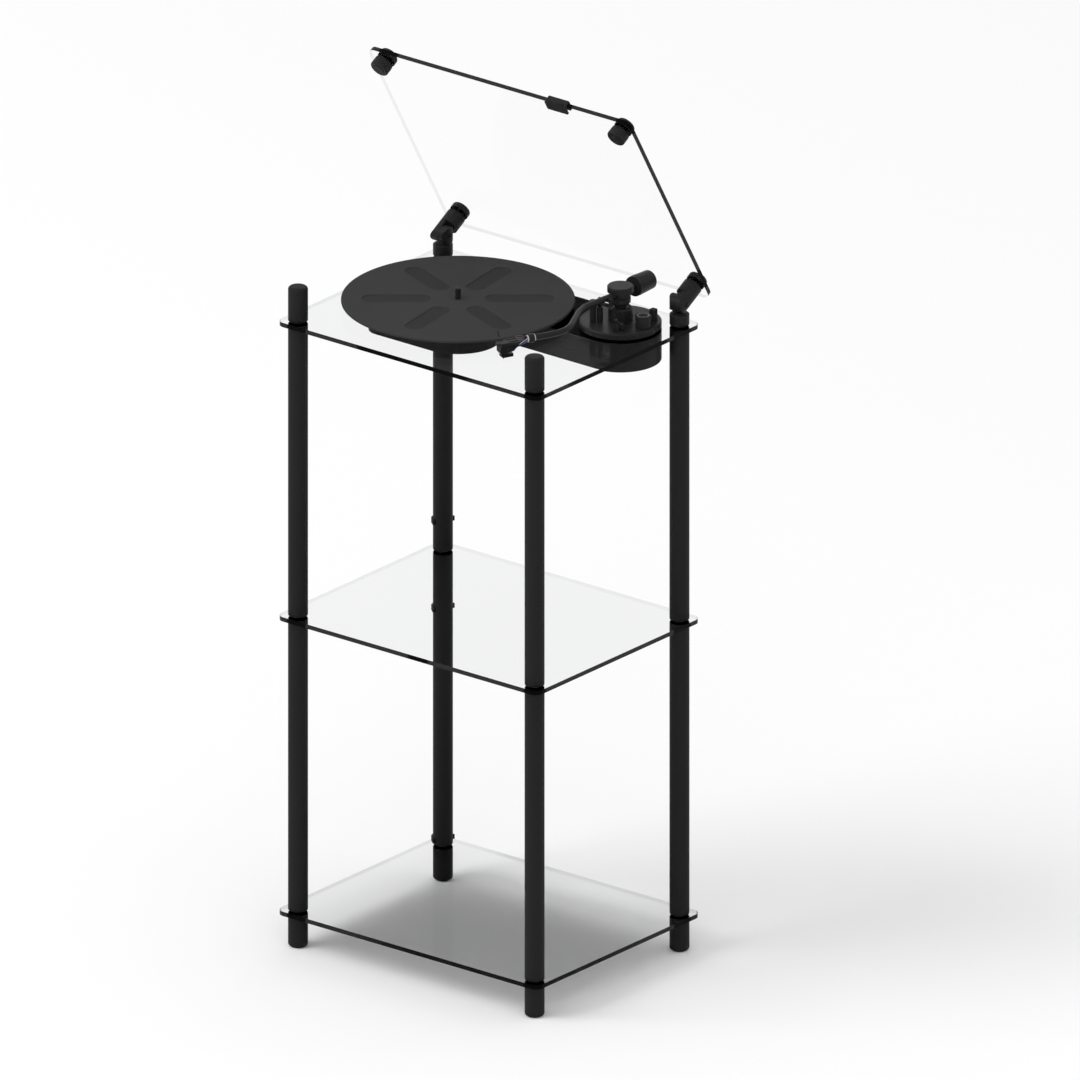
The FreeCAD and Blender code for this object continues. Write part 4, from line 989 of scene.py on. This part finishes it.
# Studio
@dataclass(frozen=True)
class PhotoCamera:
    """The photograph's parallel view, fitted on the front left post at the top shelf."""

    azimuth_deg: float = 38.85
    elevation_deg: float = 21.48
    frame_px: float = 1080.0
    px_per_metre: float = 791.0
    post_px: Tuple[float, float] = (298.0, 322.1)
    distance: float = 5.0
    reach: Tuple[float, float] = (0.01, 60.0)

    def build(self) -> None:
        """Make the camera and set it as the scene's."""
        azimuth = math.radians(self.azimuth_deg)
        elevation = math.radians(self.elevation_deg)
        right = Vector((math.cos(azimuth), math.sin(azimuth), 0.0))
        ahead = Vector((-math.sin(azimuth), math.cos(azimuth), 0.0))
        up = ahead * math.sin(elevation) + UP * math.cos(elevation)
        back = right.cross(up)
        post_low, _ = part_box("upper_posts")
        shelf_low, shelf_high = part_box("top_shelf")
        radius = post_radius()
        post = Vector((post_low.x + radius, post_low.y + radius, (shelf_low.z + shelf_high.z) / 2))
        middle = self.frame_px / 2
        along_right = (self.post_px[0] - middle) / self.px_per_metre
        along_up = (middle - self.post_px[1]) / self.px_per_metre
        data = bpy.data.cameras.new("photo_camera")
        data.type = "ORTHO"
        data.ortho_scale = self.frame_px / self.px_per_metre
        data.clip_start, data.clip_end = self.reach
        camera = bpy.data.objects.new("photo_camera", data)
        place = post - right * along_right - up * along_up + back * self.distance
        turn = Matrix((right, up, back)).transposed().to_4x4()
        camera.matrix_world = Matrix.Translation(place) @ turn
        bpy.context.scene.collection.objects.link(camera)
        bpy.context.scene.camera = camera


@dataclass(frozen=True)
class Studio:
    """The pale floor, the even sky and the soft lamps."""

    floor_size: float = 24.0
    floor_colour: Colour = (0.9, 0.9, 0.9)
    floor_roughness: float = 0.9
    sky_strength: float = 0.80
    lamps: Tuple[Tuple[str, Place, float, float], ...] = (
        ("key_lamp", (-6.9, -9.5, 12.6), 9.0, 1300.0),
        ("fill_lamp", (4.0, -5.0, 4.5), 4.0, 60.0),
    )
    lamp_target: Place = (0.0, 0.0, 0.6)

    def seen_ray(self, graph: Graph) -> bpy.types.NodeSocket:
        """Mask the rays that see the backdrop directly, in a reflection or through glass.

        Args:
            graph: The graph to add the nodes to.

        Returns:
            The mask, 1 for camera, glossy and transmission rays.
        """
        path = graph.add("LightPath")
        either = graph.maths("MAXIMUM", path.outputs["Is Camera Ray"], path.outputs["Is Glossy Ray"])
        return graph.maths("MAXIMUM", either, path.outputs["Is Transmission Ray"])

    def floor(self) -> None:
        """Make the floor, which keeps the object's shadow and is near white elsewhere."""
        mesh = bmesh.new()
        bmesh.ops.create_grid(mesh, x_segments=2, y_segments=2, size=self.floor_size / 2)
        data = bpy.data.meshes.new("studio_floor")
        mesh.to_mesh(data)
        mesh.free()
        floor = bpy.data.objects.new("studio_floor", data)
        bpy.context.scene.collection.objects.link(floor)
        made = bpy.data.materials.new("studio_floor_paint")
        made.use_nodes = True
        shader = made.node_tree.nodes["Principled BSDF"]
        shader.inputs["Base Color"].default_value = (*self.floor_colour, 1.0)
        shader.inputs["Roughness"].default_value = self.floor_roughness
        shader.inputs["Specular IOR Level"].default_value = 0.0
        data.materials.append(made)

    def sky(self) -> None:
        """Make the world: white where it is seen, and a dimmer even light elsewhere."""
        world = bpy.data.worlds.new("studio_sky")
        bpy.context.scene.world = world
        world.use_nodes = True
        graph = Graph(world.node_tree)
        backdrop = world.node_tree.nodes["Background"]
        backdrop.inputs["Color"].default_value = (1.0, 1.0, 1.0, 1.0)
        seen = graph.add("MapRange")
        seen.inputs["To Min"].default_value = self.sky_strength
        seen.inputs["To Max"].default_value = 1.0
        graph.link(self.seen_ray(graph), seen.inputs["Value"])
        graph.link(seen.outputs["Result"], backdrop.inputs["Strength"])

    def lamp(self, name: str, place: Vector, size: float, power: float) -> None:
        """Make one soft square lamp that points at the object.

        Args:
            name: The lamp's name.
            place: Where it stands.
            size: The length of its side in metres.
            power: Its power in watts.
        """
        data = bpy.data.lights.new(name, "AREA")
        data.shape = "SQUARE"
        data.size = size
        data.energy = power
        lamp = bpy.data.objects.new(name, data)
        lamp.location = place
        lamp.rotation_euler = (Vector(self.lamp_target) - place).to_track_quat("-Z", "Y").to_euler()
        bpy.context.scene.collection.objects.link(lamp)

    def build(self) -> None:
        """Make the floor, the sky and the lamps."""
        self.floor()
        self.sky()
        for name, place, size, power in self.lamps:
            self.lamp(name, Vector(place), size, power)


def main() -> None:
    """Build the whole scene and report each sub-assembly."""
    logging.basicConfig(level=logging.INFO, format="%(message)s")
    bpy.context.scene.view_settings.view_transform = "Standard"
    PhotoCamera().build()
    Studio().build()
    for assembly in (Posts(), Glazing(), LidHardware(), Plinth(), Platter(), Tonearm()):
        assembly.build()
        log.info("built %s", type(assembly).__name__)


if __name__ == "__main__":
    main()
